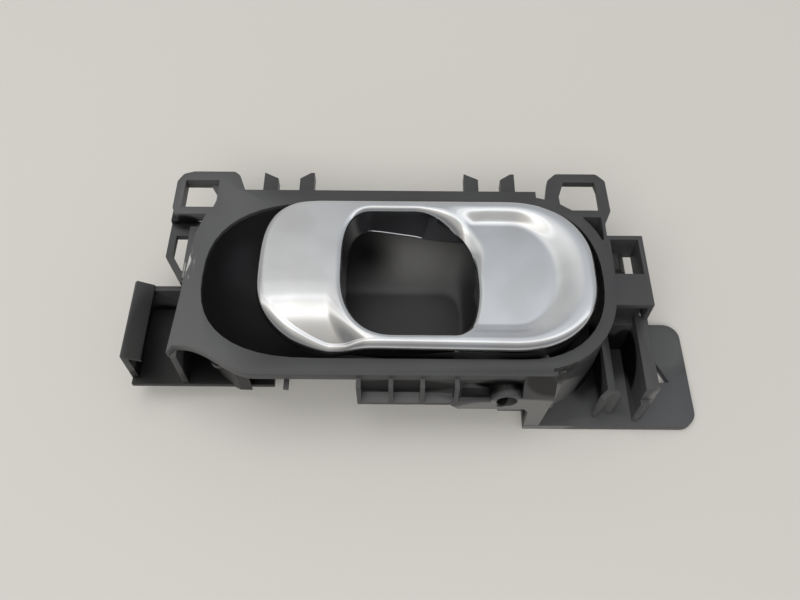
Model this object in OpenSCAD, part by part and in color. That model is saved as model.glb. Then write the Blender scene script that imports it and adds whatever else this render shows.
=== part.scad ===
// Interior door handle: a pull lever in an oval finger bowl, carried by a moulded bracket.
// It lies on its back. X runs along the handle, Y runs up the door, Z points into the cabin.
// Inside the modules Z = 0 is the front of the face plate, and place() stands it on the floor.

/* [Face plate] */
// Height of the front of the face plate above the surface the handle lies on
face_h = 30; // [30:0.5:36]
// Thickness of the face plate
plate_t = 3; // [2.6:0.1:3.6]
// Half height of the face plate
plate_b = 32.5; // [32.5:0.1:34]
// Width of the plate above and below the opening
edge_w = 5.1; // [4.5:0.1:5.5]
// Width of the band around the right end of the opening
band_w = 3.5; // [3.5:0.1:4.2]
// Left corner of the face plate
plate_x0 = -66.2; // [-70:0.1:-65.5]
// Right end of the straight top and bottom edges
plate_x1 = 42; // [40:0.5:44]

/* [Opening] */
// Width of the plate to the left of the opening
left_w = 6.7; // [5.5:0.1:8]
// Right end of the finger opening
open_x1 = 59.5; // [59.4:0.1:60.5]

/* [Finger bowl] */
// Wall of the finger bowl
bowl_t = 2; // [1.6:0.1:2.4]
// Right end of the finger bowl
bowl_x1 = 27; // [24:0.5:28]
// Run of the sloping left end of the bowl
bowl_run = 27; // [20:1:32]
// Height of the low right lip of the bowl under the face plate
bowl_lip_z = -13.5; // [-16:0.1:-13.2]
// Width and thickness of the rim that seats behind the face plate
rim_w = 2.2; // [1.8:0.1:2.4]
rim_t = 1.3; // [1:0.1:1.6]

/* [Lever] */
// Left end of the lever
lever_x0 = -43; // [-46:0.5:-40]
// Gap between the opening and the right end of the lever
end_gap = 2.9; // [2.8:0.1:3.4]
// Gap between the opening and the long sides of the lever
side_gap = 1.4; // [1.3:0.1:2]
// Height of the lever's crest over the face plate
crest_h = 5; // [4:0.1:6]
// Height of the back of the grip over the face plate
grip_back_z = -4.5; // [-5.5:0.1:-4]
// Height of the back edge beside the hinge
hinge_back_z = -12; // [-12.5:0.1:-11]
// Depth of the thumb dish under the crest
dish_d = 3; // [1.5:0.1:3.4]
// Drop of the lower left corner of the grip
roll_d = 2.6; // [1:0.1:3]
// Left and right end of the window through the lever
win_x0 = -18; // [-20:0.5:-16]
win_x1 = 22; // [20:0.5:24]
// Width of the bars above and below the window
bar_w = 4.5; // [4.4:0.1:5.2]

/* [Hinge] */
// Distance of the hinge axis from the middle of the opening
hinge_x = 41; // [40.5:0.1:41.5]
// Height of the hinge axis over the face plate
hinge_z = -6; // [-6.2:0.1:-6]
// Radius of the steel hinge pin
pin_r = 1.5; // [1.2:0.1:1.7]
// Radius of the lever's hinge barrels
barrel_r = 4.2; // [3.6:0.1:4.4]
// Radial clearance of turning fits
run_fit = 0.05; // [0.02:0.01:0.08]
// Furthest turn of the lever
open_deg = 30; // [20:1:31]
// Length of the cable arm below the hinge axis
arm_l = 18; // [15:0.5:18]
// Radius of the hole for the cable end
hook_r = 1.8; // [1.4:0.1:2.2]

/* [Return spring] */
// Wire radius
wire_r = 0.45; // [0.3:0.05:0.5]
// Mean radius of the coil
coil_r = 2.7; // [2.4:0.1:3]
// Turns of the coil
coil_turns = 4; // [3:1:5]

/* [Fixings] */
// Bore radius, outer radius and depth of the screw boss in the lower edge
boss_bore_r = 3; // [2.6:0.1:3.2]
boss_r = 4.6; // [4.4:0.1:4.8]
boss_depth = 6.6; // [5:0.1:6.8]
// Shank and head radius of the small screws
screw_r = 0.95; // [0.8:0.05:1.1]
screw_head_r = 2.2; // [1.9:0.1:2.4]
// Height of the small screws' heads
screw_head_h = 1.5; // [1.2:0.1:1.8]
// Length of the small screws' shanks
screw_l = 6; // [5:0.5:6.5]

/* [Bracket] */
// Wall of the moulded bracket
wall_t = 2; // [1.6:0.1:2.2]
// Thickness of the mounting flange
flange_t = 2.5; // [2:0.1:3]
// Right end of the mounting flange
flange_x1 = 89.5; // [84:0.5:92]
// Corner radius of the mounting flange
flange_r = 5; // [3:0.5:7]
// Left end of the side tray
tray_x0 = -81.5; // [-84:0.5:-78]
// Height of the underside of the side tray
tray_z = -22; // [-24:0.5:-20]
// Height of the side tray's outer wall
tray_h = 16; // [12:0.5:18]
// Height of the shelf in the lower edge
shelf_z = -11.5; // [-12:0.1:-11]
// Depth of that shelf
shelf_d = 3.5; // [3:0.1:4.5]
// Thickness of stiffening ribs
rib_t = 1.3; // [1:0.1:1.8]

/* [Hidden] */
$fn = 48;
eps = 0.01;
gap = 0.3;
seat = 0.15;

carrier_grey = [0.27, 0.28, 0.29];
bowl_black = [0.07, 0.07, 0.08];
chrome = [0.78, 0.79, 0.81];
resin_black = [0.12, 0.12, 0.13];
steel = [0.62, 0.62, 0.60];
rubber_black = [0.05, 0.05, 0.05];

// Heights of the opening, the lever and its window follow the face plate
open_b = plate_b - edge_w;
open_x0 = plate_x0 + left_w;
lever_b = open_b - side_gap;
lever_x1 = open_x1 - end_gap;
win_b = lever_b - bar_w;

// The middle of the whole part, so that it stands centred on the origin
tab_tip_y = plate_b + 9.7;
shelf_y = -plate_b + 0.5 - shelf_d;
flange_y0 = shelf_y - 0.1;
mid_x = (tray_x0 + flange_x1) / 2;
mid_y = (flange_y0 + tab_tip_y) / 2;
flange_top_z = -face_h + flange_t;

// Lever: edge radii, draft and the heights that its parts share
edge_r = 2.4;
win_edge_r = 1.6;
draft = 1.7;
dish_back_z = crest_h - dish_d - 2.4;
bracket_top_z = dish_back_z - 3.4;
bracket_t = 2.4;
bracket_x0 = hinge_x - 13;
bracket_x1 = hinge_x + 11.6;
cavity_b = lever_b - 5.6;
cavity_z = hinge_back_z - 3;
bracket_b = cavity_b - 1;
barrel_b = bracket_b - 1.5;
bracket_r = 15.6;
spring_room_y = -6.5;
lever_screws = [[hinge_x - 9.6, bracket_b - 7.6], [hinge_x - 9.6, 7.6 - bracket_b], [hinge_x + 9, 0]];

// Hinge: ears stand outside the lever's side walls
ear_y0 = lever_b + 0.4;
ear_y1 = open_b + 2.4;
ear_r = barrel_r;
bush_r = pin_r + 1;
bush_flange_r = bush_r + 1;
bush_flange_t = 1;
clip_t = 0.6;
spring_y = -1.9;
arm_y0 = 1;
arm_y1 = 6;

// Bay under the hinge end
swing_gap = 0.9;
bay_x0 = bowl_x1 + bowl_t + 0.6;
cross_t = wall_t;
cross_z = bracket_top_z - bracket_t - 3.2;
cross_b = cavity_b - 1.2;
stop_r = 1.8;
stop_h = 2.2;
closed_stop_y = bracket_b - rib_t - stop_r - 0.2;
// The lever's lower right edge, seen from the hinge, and where it comes to at the furthest turn
skirt_x = lever_x1 - draft - hinge_x;
skirt_z = hinge_back_z - hinge_z;
open_stop_y = -6;
open_stop_x = hinge_x + skirt_x * cos(open_deg) + skirt_z * sin(open_deg);
open_post_z = hinge_z - skirt_x * sin(open_deg) + skirt_z * cos(open_deg) - gap - stop_h;

bowl_screws = [[open_x0 + 5.5, open_b - 2.2], [open_x0 + 7, 3 - open_b], [6, open_b + 3.3]];
bowl_boss_r = 2.1;
bowl_boss_h = 3;
lug_t = 1.6;
lug_r = 2.7;
rim_x1 = bowl_x1 - 12;

module place() translate([-mid_x, -mid_y, face_h]) children();

// Outlines
function smooth(t) = let (u = min(max(t, 0), 1)) u * u * (3 - 2 * u);
function power(v, n) = sign(v) * pow(abs(v), n);
// Points of one rounded corner, from angle a0 to a1, in k steps; n = 2 is an ellipse
function corner(c, r, n, a0, a1, k) = [
    for (i = [0:k])
        let (a = a0 + (a1 - a0) * i / k)
        [c[0] + r[0] * power(cos(a), 2 / n), c[1] + r[1] * power(sin(a), 2 / n)]
];
function run(a, b, k) = [for (i = [1:k - 1]) a + (b - a) * i / k];
// The finger opening, grown by d
end_run = 26;
left_run = 35;
function opening(d = 0) = concat(
    corner([open_x1 - end_run, 0], [end_run + d, open_b + d], 2.32, -90, 90, 24),
    corner([open_x0 + left_run, 0], [left_run + d, open_b + d], 2.5, 90, 270, 24)
);
// The lever's outer outline, drawn in by d: four corners and two straight sides
upper_run = 20;
lower_run = 22;
function lever_outline(d = 0) =
    let (
        r = lever_x1 - end_run, l = lever_x0 + upper_run, ll = lever_x0 + lower_run, b = lever_b - d, h = 1.5,
        ur = corner([r, h], [end_run - d, b - h], 2.3, 0, 90, corner_k),
        ul = corner([l, h], [upper_run - d, b - h], 3.1, 90, 180, corner_k),
        lo = corner([ll, -h], [lower_run - d, b - h], 2.2, 180, 270, corner_k),
        lr = corner([r, -h], [end_run - d, b - h], 2.3, 270, 360, corner_k)
    )
    concat(ur, run(ur[corner_k], ul[0], side_k), ul, lo, run(lo[corner_k], lr[0], side_k), lr);
// The window's outline, grown by d: wide corners at the upper right and lower left
low_run = 16;
low_n = 2.4;
function window_outline(d = 0) = concat(
    corner([win_x1 - 18.5, -4], [18.5 + d, win_b + 4 + d], 1.9, 0, 90, 12),
    corner([win_x0 + 9, 3.5], [9 + d, win_b - 3.5 + d], 2.6, 90, 180, 10),
    corner([win_x0 + low_run, 0], [low_run + d, win_b + d], low_n, 180, 270, 12),
    corner([win_x1 - 7, -4], [7 + d, win_b - 4 + d], 2.1, 270, 360, 10)
);
// Where the ray from the window's middle towards p meets an outline
win_mid = [(win_x0 + win_x1) / 2, 0];
function turn(a, b) = a[0] * b[1] - a[1] * b[0];
function ray_hit(p, line) =
    let (v = p - win_mid, n = len(line))
    [
        for (i = [0:n - 1])
            let (a = line[i] - win_mid, b = line[(i + 1) % n] - win_mid, s = turn(a, v), t = turn(b, v))
            if (s > 0 && t <= 0 && a * v > 0) win_mid + v * turn(a, b - a) / turn(v, b - a)
    ][0];
corner_k = 14;
side_k = 14;

// Solid between rings of equal length, each ring joined to the next and the last to the first
module ring_solid(rings) {
    n = len(rings[0]);
    m = len(rings);
    polyhedron(
        [for (r = rings) for (p = r) p],
        [
            for (j = [0:m - 1]) for (i = [0:n - 1])
                let (a = j * n, b = (j + 1) % m * n, k = (i + 1) % n)
                each [[a + i, b + i, b + k], [a + i, b + k, a + k]]
        ]
    );
}
// Solid through a stack of rings, closed flat at both ends
module stack_solid(rings) {
    n = len(rings[0]);
    m = len(rings);
    polyhedron(
        [for (r = rings) for (p = r) p],
        concat(
            [[for (i = [0:n - 1]) i]],
            [[for (i = [0:n - 1]) m * n - 1 - i]],
            [
                for (j = [0:m - 2]) for (i = [0:n - 1])
                    let (a = j * n, b = a + n, k = (i + 1) % n)
                    each [[a + i, b + i, b + k], [a + i, b + k, a + k]]
            ]
        )
    );
}

module along_y(y0, y1, r, x, z) translate([x, y1, z]) rotate([90, 0, 0]) cylinder(r = r, h = y1 - y0);
module box(x, y, z) translate([x[0], y[0], z[0]]) cube([x[1] - x[0], y[1] - y[0], z[1] - z[0]]);
// A profile in Y and Z, extruded from x0 to x1
module profile_x(x0, x1, points) translate([x0, 0, 0]) rotate([90, 0, 90]) linear_extrude(x1 - x0) polygon(points);
// Everything to one side of x, for cutting outlines
module left_of(x) translate([x - flange_x1 * 2, -plate_b * 2]) square([flange_x1 * 2, plate_b * 4]);
module right_of(x) translate([x, -plate_b * 2]) square([flange_x1 * 2, plate_b * 4]);
module slab(z0, z1) translate([0, 0, z0]) linear_extrude(z1 - z0) children();
module rounded(x, y, r) {
    for (cx = [x[0] + r, x[1] - r]) for (cy = [y[0] + r, y[1] - r]) translate([cx, cy]) circle(r);
    translate([x[0] + r, y[0]]) square([x[1] - x[0] - 2 * r, y[1] - y[0]]);
    translate([x[0], y[0] + r]) square([x[1] - x[0], y[1] - y[0] - 2 * r]);
}

// A strip from x0 to x1 with rounded right corners
module bullet(x0, x1, b, r) {
    translate([x0, -b]) square([x1 - r - x0, 2 * b]);
    translate([x0, -b + r]) square([x1 - x0, 2 * (b - r)]);
    for (y = [-b + r, b - r]) translate([x1 - r, y]) circle(r);
}

// Carrier: face plate, with the curved notch in its lower left corner
notch_w = 22;
notch_h = 8.8;
notch_x = plate_x0 + notch_w + 3.2;
notch_pts = [for (i = [0:12]) let (t = i / 12) [notch_x - notch_w * t, -plate_b + notch_h * (1 - cos(180 * t)) / 2]];
module face_outline() {
    polygon(opening(band_w));
    polygon(concat(
        [[plate_x1, -plate_b], [plate_x1, plate_b], [plate_x0 + 15.7, plate_b], [plate_x0 + 4.5, plate_b - 10.3],
            [plate_x0 + 2.4, plate_b - 17.5], [plate_x0 + 1.1, -7], [plate_x0, 6.5 - plate_b],
            [plate_x0 + 1.5, notch_h - plate_b]],
        [for (i = [12:-1:0]) notch_pts[i]]
    ));
}
module face_plate() {
    difference() {
        slab(-plate_t, 0) face_outline();
        slab(-plate_t - eps, eps) polygon(opening());
        slab(-plate_t - eps, -plate_t + rim_t + seat) intersection() {
            polygon(opening(rim_w + seat));
            left_of(rim_x1 + seat);
        }
        slab(-plate_t - eps, -1) intersection() {
            polygon(opening(swing_gap));
            right_of(rim_x1);
        }
    }
}

// Ears and loop, each drawn from the plate's upper left corner or from the end of the opening
ear_t = 4;
ear_h = 7.4;
module upper_left() translate([plate_x0, plate_b]) children();
ear_round = 1.8;
module softened(r) offset(r) offset(-r) children();
module left_ear() upper_left() {
    slab(-ear_t, 0) difference() {
        softened(ear_round) polygon([[-6.1, -7.5], [-4.8, -9.7], [8.2, -9.7], [20.2, -1], [15.9, 0], [13.7, ear_h - 1.6],
            [12, ear_h], [-1.1, ear_h], [-4.4, ear_h - 1], [-6.1, ear_h - 4]]);
        polygon([[-3.4, -7], [6.6, -7], [7.3, -4.5], [7.3, 3.9], [-3.4, 3.9]]);
    }
    slab(-ear_t, -ear_t + 1.2) polygon([[7.7, -7.3], [7.7, 4], [4.2, 4], [7.4, -1.5]]);
}
right_ear_t = 2.2;
module right_ear() translate([open_x1, plate_b]) {
    slab(-right_ear_t, 0) difference() {
        softened(ear_round) polygon([[-15.3, -6.5], [-13.4, ear_h - 2.8], [-10.6, ear_h], [2.5, ear_h], [5.1, ear_h - 2.8],
            [5.4, -7.5], [3.1, -12.5], [3, -22.5], [-2.5, -18.5], [-9.5, -10.5]]);
        polygon([[-8.3, 4], [1.5, 4], [2.1, 1], [2.2, -7.3], [-6.7, -7.3], [-10.1, -4.9], [-10.3, -1.9]]);
        polygon(pocket_line);
        translate([-open_x1, -plate_b]) polygon(opening(band_w - 0.4));
    }
    slab(-13, -right_ear_t + eps) difference() {
        offset(delta = 1) polygon(pocket_line);
        polygon(pocket_line);
    }
    slab(-14, -13 + eps) offset(delta = 1) polygon(pocket_line);
}
pocket_line = [[-3.6, -9.9], [2.1, -9.9], [2.1, -18.6], [1.2, -18.6]];
// Lower loop beside the upper left ear
module left_loop() upper_left() {
    z0 = -7.6;
    z1 = -5.5;
    slab(z0, z1) difference() {
        polygon([[-7.1, -5.5], [-7.2, -22.3], [-1.4, -31.7], [2.2, -31.7], [5.7, -12.5], [8.2, -5.5]]);
        polygon([[-5, -14.3], [1.7, -14.3], [-0.1, -27.7], [-1.6, -27.5], [-5.1, -21.7]]);
        polygon([[-4.6, -6.9], [-4.6, -8.7], [6.2, -8.7], [6.2, -6.9]]);
    }
    box([-7.1, -5], [-9.7, -5.5], [z0, -ear_t + eps]);
    box([-0.4, 2.2], [-31.7, -12.5], [z0, -plate_t + eps]);
    box([4.8, 7.2], [-13.5, -5.5], [z0, -plate_t + eps]);
}

// Pairs of snap tabs on the upper edge, with slanted tips
tab_xs = [[-45.3, 1], [-33.6, -1], [19.7, 1], [31.5, -1]];
module snap_tabs() {
    y0 = open_b + bowl_t + 2 * gap;
    for (t = tab_xs) slab(-7, -plate_t + eps) translate([t[0], 0]) polygon(t[1] > 0
        ? [[0, y0], [4.6, y0], [4.6, tab_tip_y - 2.4], [0, tab_tip_y]]
        : [[0, y0], [4.6, y0], [4.6, tab_tip_y], [3.4, tab_tip_y], [0, tab_tip_y - 2.4]]);
    for (x = [-46, 19]) box([x, x + 18], [y0, plate_b - 0.6], [-7, -plate_t + eps]);
}

// Side tray at the left, open at its lower side, with the pocket under the notch
tray_floor_z = tray_z + 1.6;
tray_top_z = tray_z + tray_h;
module side_tray() {
    tray_y0 = 6.5 - plate_b;
    tray_y1 = 1.6;
    wall_x = plate_x0 + 0.2;
    slab(tray_z, tray_floor_z) difference() {
        union() {
            translate([tray_x0, tray_y0]) square([notch_x + 2.5 - tray_x0, 12]);
            translate([tray_x0, tray_y0]) square([plate_x0 + 10.2 - tray_x0, tray_y1 - tray_y0]);
        }
        polygon(bowl_at(bowl_t + 2 * gap, asin((bowl_top_z - tray_floor_z) / (bowl_depth + bowl_t))));
    }
    profile_y(tray_y0 + 2, tray_y1, [[tray_x0, tray_z], [tray_x0, tray_top_z - 0.8], [tray_x0 + 0.8, tray_top_z],
        [tray_x0 + 5.6, tray_top_z - 2.4], [tray_x0 + 5.6, tray_top_z - 3.8], [tray_x0 + wall_t, tray_top_z - 2.4],
        [tray_x0 + wall_t, tray_z]]);
    box([tray_x0 + 1, wall_x + 3.5], [tray_y1 - 1.6, tray_y1], [tray_z, tray_top_z - 3]);
    box([wall_x, wall_x + 1.8], [tray_y0 + 0.4, tray_y1], [tray_z, -plate_t + eps]);
    slab(tray_z, -plate_t + eps) intersection() {
        difference() {
            polygon(opening(rim_w + gap + 1.4));
            polygon(opening(rim_w + gap));
        }
        translate([wall_x, tray_y0 - 1]) square([notch_x + 1.5 - wall_x, 17]);
    }
    translate([notch_x + 9, -plate_b]) {
        box([-1.4, 0], [1.5, 3], [-7, -plate_t + eps]);
        box([-1.4, 0], [-1.5, 1.6], [-7, -5.8]);
    }
}
// A profile in X and Z, extruded from y0 to y1
module profile_y(y0, y1, points) translate([0, y1, 0]) rotate([90, 0, 0]) linear_extrude(y1 - y0) polygon(points);

// Ribbed shelf, slot and screw boss in the lower edge
boss_x = 29.8;
boss_z = -10.4;
wall_y = -plate_b + 0.3;
lower_bottom_z = -15.6;
module lower_edge() {
    wall_in = wall_y + 1.2;
    slot_back_y = -open_b - 0.8;
    difference() {
        union() {
            box([-12.8, 43], [wall_y, wall_in], [shelf_z - 1.4, -plate_t + eps]);
            box([-12.8, 17], [shelf_y, wall_in], [shelf_z - 1.4, shelf_z]);
            for (x = [-12.8, -3.8, 5, 14.6]) box([x, x + rib_t], [wall_y - shelf_d + 0.2, wall_y + eps], [shelf_z, -plate_t + 1.2]);
            profile_y(shelf_y, shelf_y + 1.6, [[14, shelf_z + 0.6], [14, -13.3], [16.2, lower_bottom_z], [35.4, lower_bottom_z],
                [35.4, shelf_z + 0.6]]);
            box([16, 35.4], [shelf_y, slot_back_y], [lower_bottom_z, lower_bottom_z + 1.4]);
            box([16, 35.4], [slot_back_y - 1.2, slot_back_y], [lower_bottom_z, -plate_t + eps]);
            box([16, 17.2], [wall_y, slot_back_y], [lower_bottom_z, -plate_t + eps]);
            profile_x(34, 43, [[wall_in, 0], [wall_y, 0], [shelf_y, -8], [shelf_y, -9.6], [wall_in, -9.6]]);
            box([34, 35.4], [shelf_y, wall_in], [lower_bottom_z, -8]);
        }
        box([17.2, 34], [wall_y - eps, wall_in + eps], [-13.4, -5.2]);
    }
    along_y(shelf_y, slot_back_y, boss_r, boss_x, boss_z);
    web_w = shelf_y + 1.8;
    profile_y(shelf_y, web_w, [[35.4, -8], [43, -8], [41.4, flange_top_z], [41.4, -face_h], [36.8, -face_h],
        [36.8, -18], [35.4, -15.6]]);
}

// Walls of the bay under the hinge end, following the band
module bay() {
    slab(-face_h, -plate_t + eps) intersection() {
        difference() {
            polygon(opening(band_w - 0.3));
            polygon(opening(band_w - 0.3 - wall_t));
        }
        right_of(hinge_x + 3);
    }
    for (s = [-1, 1]) {
        box([bay_x0, 46], [min(s * ear_y1, s * (ear_y1 - wall_t)), max(s * ear_y1, s * (ear_y1 - wall_t))],
            [-face_h, -plate_t + eps]);
        box([bay_x0, bay_x0 + cross_t], [min(s * 8, s * cross_b), max(s * 8, s * cross_b)], [-face_h, cross_z]);
        box([bay_x0, bay_x0 + cross_t], [min(s * 18, s * ear_y1), max(s * 18, s * ear_y1)], [-face_h, hinge_back_z - 0.8]);
        box([bay_x0, bay_x0 + 5.4], [s * closed_stop_y - 3, s * closed_stop_y + 3], [cross_z - 1.6, cross_z]);
    }
    box([bay_x0, bay_x0 + cross_t], [-8 - eps, spring_y + 1], [-face_h, cross_z]);
}
module hinge_ears() {
    for (s = [-1, 1]) {
        y0 = min(s * ear_y0, s * ear_y1);
        y1 = max(s * ear_y0, s * ear_y1);
        along_y(y0, y1, ear_r, hinge_x, hinge_z);
    }
}
module ear_holes() {
    for (s = [-1, 1]) {
        y0 = min(s * (ear_y0 - 1), s * (ear_y1 + 1));
        y1 = max(s * (ear_y0 - 1), s * (ear_y1 + 1));
        along_y(y0, y1, bush_r, hinge_x, hinge_z);
    }
}

// Bosses for the bowl's screws and the post for the open stop
module bowl_bosses() {
    for (p = bowl_screws) translate([p[0], p[1], -plate_t - bowl_boss_h]) cylinder(r = bowl_boss_r, h = bowl_boss_h + eps);
}
module bowl_boss_holes() {
    for (p = bowl_screws) translate([p[0], p[1], -plate_t - bowl_boss_h - eps]) cylinder(r = screw_r + run_fit, h = bowl_boss_h + 1.6);
}

// Clip box at the right: an open frame with a solid plate below it
clip_y0 = 0.6;
module clip_box() {
    box([61.5, 73.4], [-9, clip_y0 + 0.2], [-2.4, -0.4]);
    box([61.5, 63.4], [clip_y0, 15.8], [-10, -0.4]);
    box([72, 73.4], [-9, 15.8], [-10, -0.4]);
    box([61.5, 73.4], [14.4, 15.8], [-10, -0.4]);
    box([61.5, 73.4], [clip_y0, clip_y0 + 1.2], [-10, -0.4]);
    profile_y(8, 14.5, [[63, -10], [69.6, -10], [67.2, -7.4], [63, -6.6]]);
    box([61.5, 72.6], [-5, -3.6], [-13.2, -1]);
    box([61.5, 72.6], [-9.2, -3.6], [-13.2, -12]);
}

// Guide channel and flange at the lower right
guide_x0 = 69.8;
guide_x1 = 73.6;
module channel() {
    box([guide_x0, guide_x1], [-32, -7.6], [-face_h, -9]);
    box([63, guide_x1], [-9.2, -7.6], [-face_h, -12]);
    box([60.2, 62.4], [-30, -12], [-face_h, -14]);
    profile_z(-face_h, -14, [[60.2, -29.6], [62.4, -29.6], [64, -30.6], [63.4, -31.8], [61.4, -31], [58.6, -33], [57.6, -32]]);
    profile_z(-face_h, -16, [[guide_x0, -31.9], [guide_x1, -31.9], [guide_x1 - 0.6, -32.8], [guide_x0 + 0.8, -34.2], [guide_x0, -33.4]]);
}
module profile_z(z0, z1, points) slab(z0, z1) polygon(points);
module flange() {
    difference() {
        union() {
            slab(-face_h, flange_top_z) rounded([72, flange_x1], [flange_y0, -0.2], flange_r);
            box([36.8, flange_x1 - 8], [flange_y0, -0.2], [-face_h, flange_top_z]);
        }
        slab(-face_h - eps, flange_top_z + eps) polygon([[79.6, -12.6], [83.5, -20.8], [80.2, -21]]);
        box([34, 43.5], [-24, 1], [-face_h - eps, flange_top_z + eps]);
    }
    translate([open_stop_x, open_stop_y, -face_h]) cylinder(r = stop_r + 0.8, h = open_post_z + face_h);
}

module carrier() place() color(carrier_grey) {
    difference() {
        union() {
            face_plate();
            left_ear();
            right_ear();
            left_loop();
            snap_tabs();
            side_tray();
            lower_edge();
            bay();
            hinge_ears();
            bowl_bosses();
            clip_box();
            channel();
            flange();
        }
        ear_holes();
        bowl_boss_holes();
        along_y(shelf_y - 1, shelf_y + boss_depth, boss_bore_r, boss_x, boss_z);
        for (p = bowl_screws) lug(p, gap, 4);
    }
}

// Finger bowl: a cup that runs down from the opening to a flat bottom
bowl_depth = face_h - bowl_t - plate_t + rim_t;
bowl_top_z = -plate_t + rim_t;
right_run = 11;
function bowl_ring(d, x0, x1, b, run_x) = concat(
    corner([x1 - right_run, 0], [right_run + d, b + d], 3.4, -90, 90, 20),
    corner([x0 + run_x, 0], [run_x + d, b + d], 2.5, 90, 270, 24)
);
// The bowl's outline at angle a of its curved side, 0 at the top and 90 at the bottom
function bowl_at(d, a) =
    let (inset = 1 - cos(a), lean = 3 * sin(a))
    bowl_ring(d, open_x0 + bowl_run * inset, bowl_x1 - 7 * inset - lean / 2, open_b - 14 * inset - lean, left_run - 14 * inset);
module cup(d, depth, top) {
    k = 9;
    stack_solid([
        for (i = [k:-1:-1])
            let (a = 90 * max(i, 0) / k, sink = i < 0 ? -top : depth * sin(a))
            [for (p = bowl_at(d, a)) [p[0], p[1], bowl_top_z - sink]]
    ]);
}
// A screw lug, joined to the side of the bowl, grown by d and reaching below by extra
module lug(p, d = 0, extra = 0) {
    z0 = -plate_t - bowl_boss_h - lug_t - extra;
    z1 = -plate_t - bowl_boss_h;
    r = lug_r + d;
    in_y = p[1] - sign(p[1]) * (4.5 + d);
    translate([p[0], p[1], z0]) cylinder(r = r, h = z1 - z0);
    box([p[0] - r, p[0] + r + (p[0] < 0 ? 4 : 0)], [min(p[1], in_y), max(p[1], in_y)], [z0, z1]);
}
module finger_bowl() place() color(bowl_black) {
    difference() {
        union() {
            cup(bowl_t, bowl_depth + bowl_t, 0);
            slab(-plate_t, bowl_top_z) intersection() {
                polygon(opening(rim_w));
                left_of(rim_x1);
            }
            for (p = bowl_screws) lug(p);
        }
        cup(0, bowl_depth, 1);
        slab(bowl_lip_z, plate_t) right_of(rim_x1);
        for (p = bowl_screws) translate([p[0], p[1], -plate_t - bowl_boss_h]) cylinder(r = bowl_boss_r + seat, h = 8);
        for (p = bowl_screws) translate([p[0], p[1], -20]) cylinder(r = screw_r + 0.3, h = 20);
    }
}

// Lever cover: height of its front at a point, and of its back edge
function edge_in(p) =
    let (
        right = p[0] > lever_x1 - end_run, n = right ? 2.3 : p[1] > 0 ? 3.1 : 2.2,
        dx = right ? (p[0] - lever_x1 + end_run) / end_run : max(lever_x0 + lower_run - p[0], 0) / lower_run
    )
    lever_b * (1 - pow(pow(dx, n) + pow(abs(p[1]) / lever_b, n), 1 / n));
function window_off(p) =
    let (dx = max(win_x0 + low_run - p[0], 0) / low_run, dy = abs(p[1]) / win_b)
    p[1] > 0 ? win_x0 - p[0] : low_run * (pow(pow(dx, low_n) + pow(dy, low_n), 1 / low_n) - 1);
function dish(p) = smooth((p[0] - 8) / 14) * smooth((edge_in(p) - edge_r - 0.4) / 6);
function roll(p) = smooth((-8 - p[0]) / 16) * smooth((6 - p[1]) / 28) * smooth((window_off(p) - 1.5) / 3.5);
function front_z(p) = crest_h - dish_d * dish(p) - roll_d * roll(p) - 0.8 * smooth((-30 - p[0]) / 13);
function back_z(x) = grip_back_z + (hinge_back_z - grip_back_z) * smooth((x + 24) / 50);
function edge_radius(p) = edge_r + 4.2 * smooth((-14 - p[0]) / 18) * smooth((2 - p[1]) / 22);
module lever_body() {
    o0 = lever_outline(0);
    o6 = lever_outline(6);
    w0 = [for (p = o0) ray_hit(p, window_outline(0))];
    wr = [for (p = o0) ray_hit(p, window_outline(win_edge_r))];
    wb = [for (p = o0) ray_hit(p, window_outline(-0.9))];
    n = len(o0);
    crest = [for (i = [0:n - 1]) o0[i] + (o6[i] - o0[i]) * edge_radius(o0[i]) / 6];
    top = [for (p = crest) front_z(p)];
    inner = [for (p = wr) front_z(p)];
    ring_solid(concat(
        [[for (i = [0:n - 1]) let (p = o0[i] + (o6[i] - o0[i]) * draft / 6) [p[0], p[1], back_z(p[0])]]],
        [
            for (a = [0, 25, 50, 72, 90])
                [for (i = [0:n - 1]) let (r = edge_radius(o0[i]), p = o0[i] + (o6[i] - o0[i]) * r * (1 - cos(a)) / 6)
                    [p[0], p[1], top[i] - r * (1 - sin(a))]]
        ],
        [
            for (s = [0.14, 0.3, 0.46, 0.62, 0.8, 1])
                [for (i = [0:n - 1]) let (p = crest[i] + (wr[i] - crest[i]) * s)
                    [p[0], p[1], front_z(p)]]
        ],
        [
            for (a = [35, 65, 90])
                [for (i = [0:n - 1]) let (p = wr[i] + (w0[i] - wr[i]) * sin(a))
                    [p[0], p[1], inner[i] - win_edge_r * (1 - cos(a))]]
        ],
        [[for (i = [0:n - 1]) [wb[i][0], wb[i][1], back_z(wb[i][0])]]]
    ));
}
grip_lip = 1.6;
grip_plate_t = 1.6;
module grip_region(d) intersection() {
    polygon(lever_outline(draft + d));
    left_of(win_x0 - 3 - d);
}
module lever_cover() place() color(chrome) {
    difference() {
        lever_body();
        slab(grip_back_z - 9, grip_back_z + grip_plate_t) grip_region(grip_lip);
        slab(grip_back_z, -0.6) grip_region(grip_lip + 2.4);
        slab(cavity_z, dish_back_z) bullet(26, lever_x1 - 3.2, cavity_b, 16);
        slab(cavity_z, dish_back_z + 0.5) bullet(10, 34, cavity_b, 8);
        slab(cavity_z, crest_h - 2.6) bullet(2, 10.5, cavity_b, 0.5);
        along_y(-plate_b, plate_b, pin_r + gap, hinge_x, hinge_z);
        lever_screw_holes();
    }
    difference() {
        for (p = lever_screws) translate([p[0], p[1], bracket_top_z]) cylinder(r = 3, h = dish_back_z - bracket_top_z + 1.6);
        lever_screw_holes();
    }
}
module lever_screw_holes() {
    for (p = lever_screws) translate([p[0], p[1], bracket_top_z - eps])
        cylinder(r = screw_r + run_fit, h = screw_l - bracket_t + 0.3);
}
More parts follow.
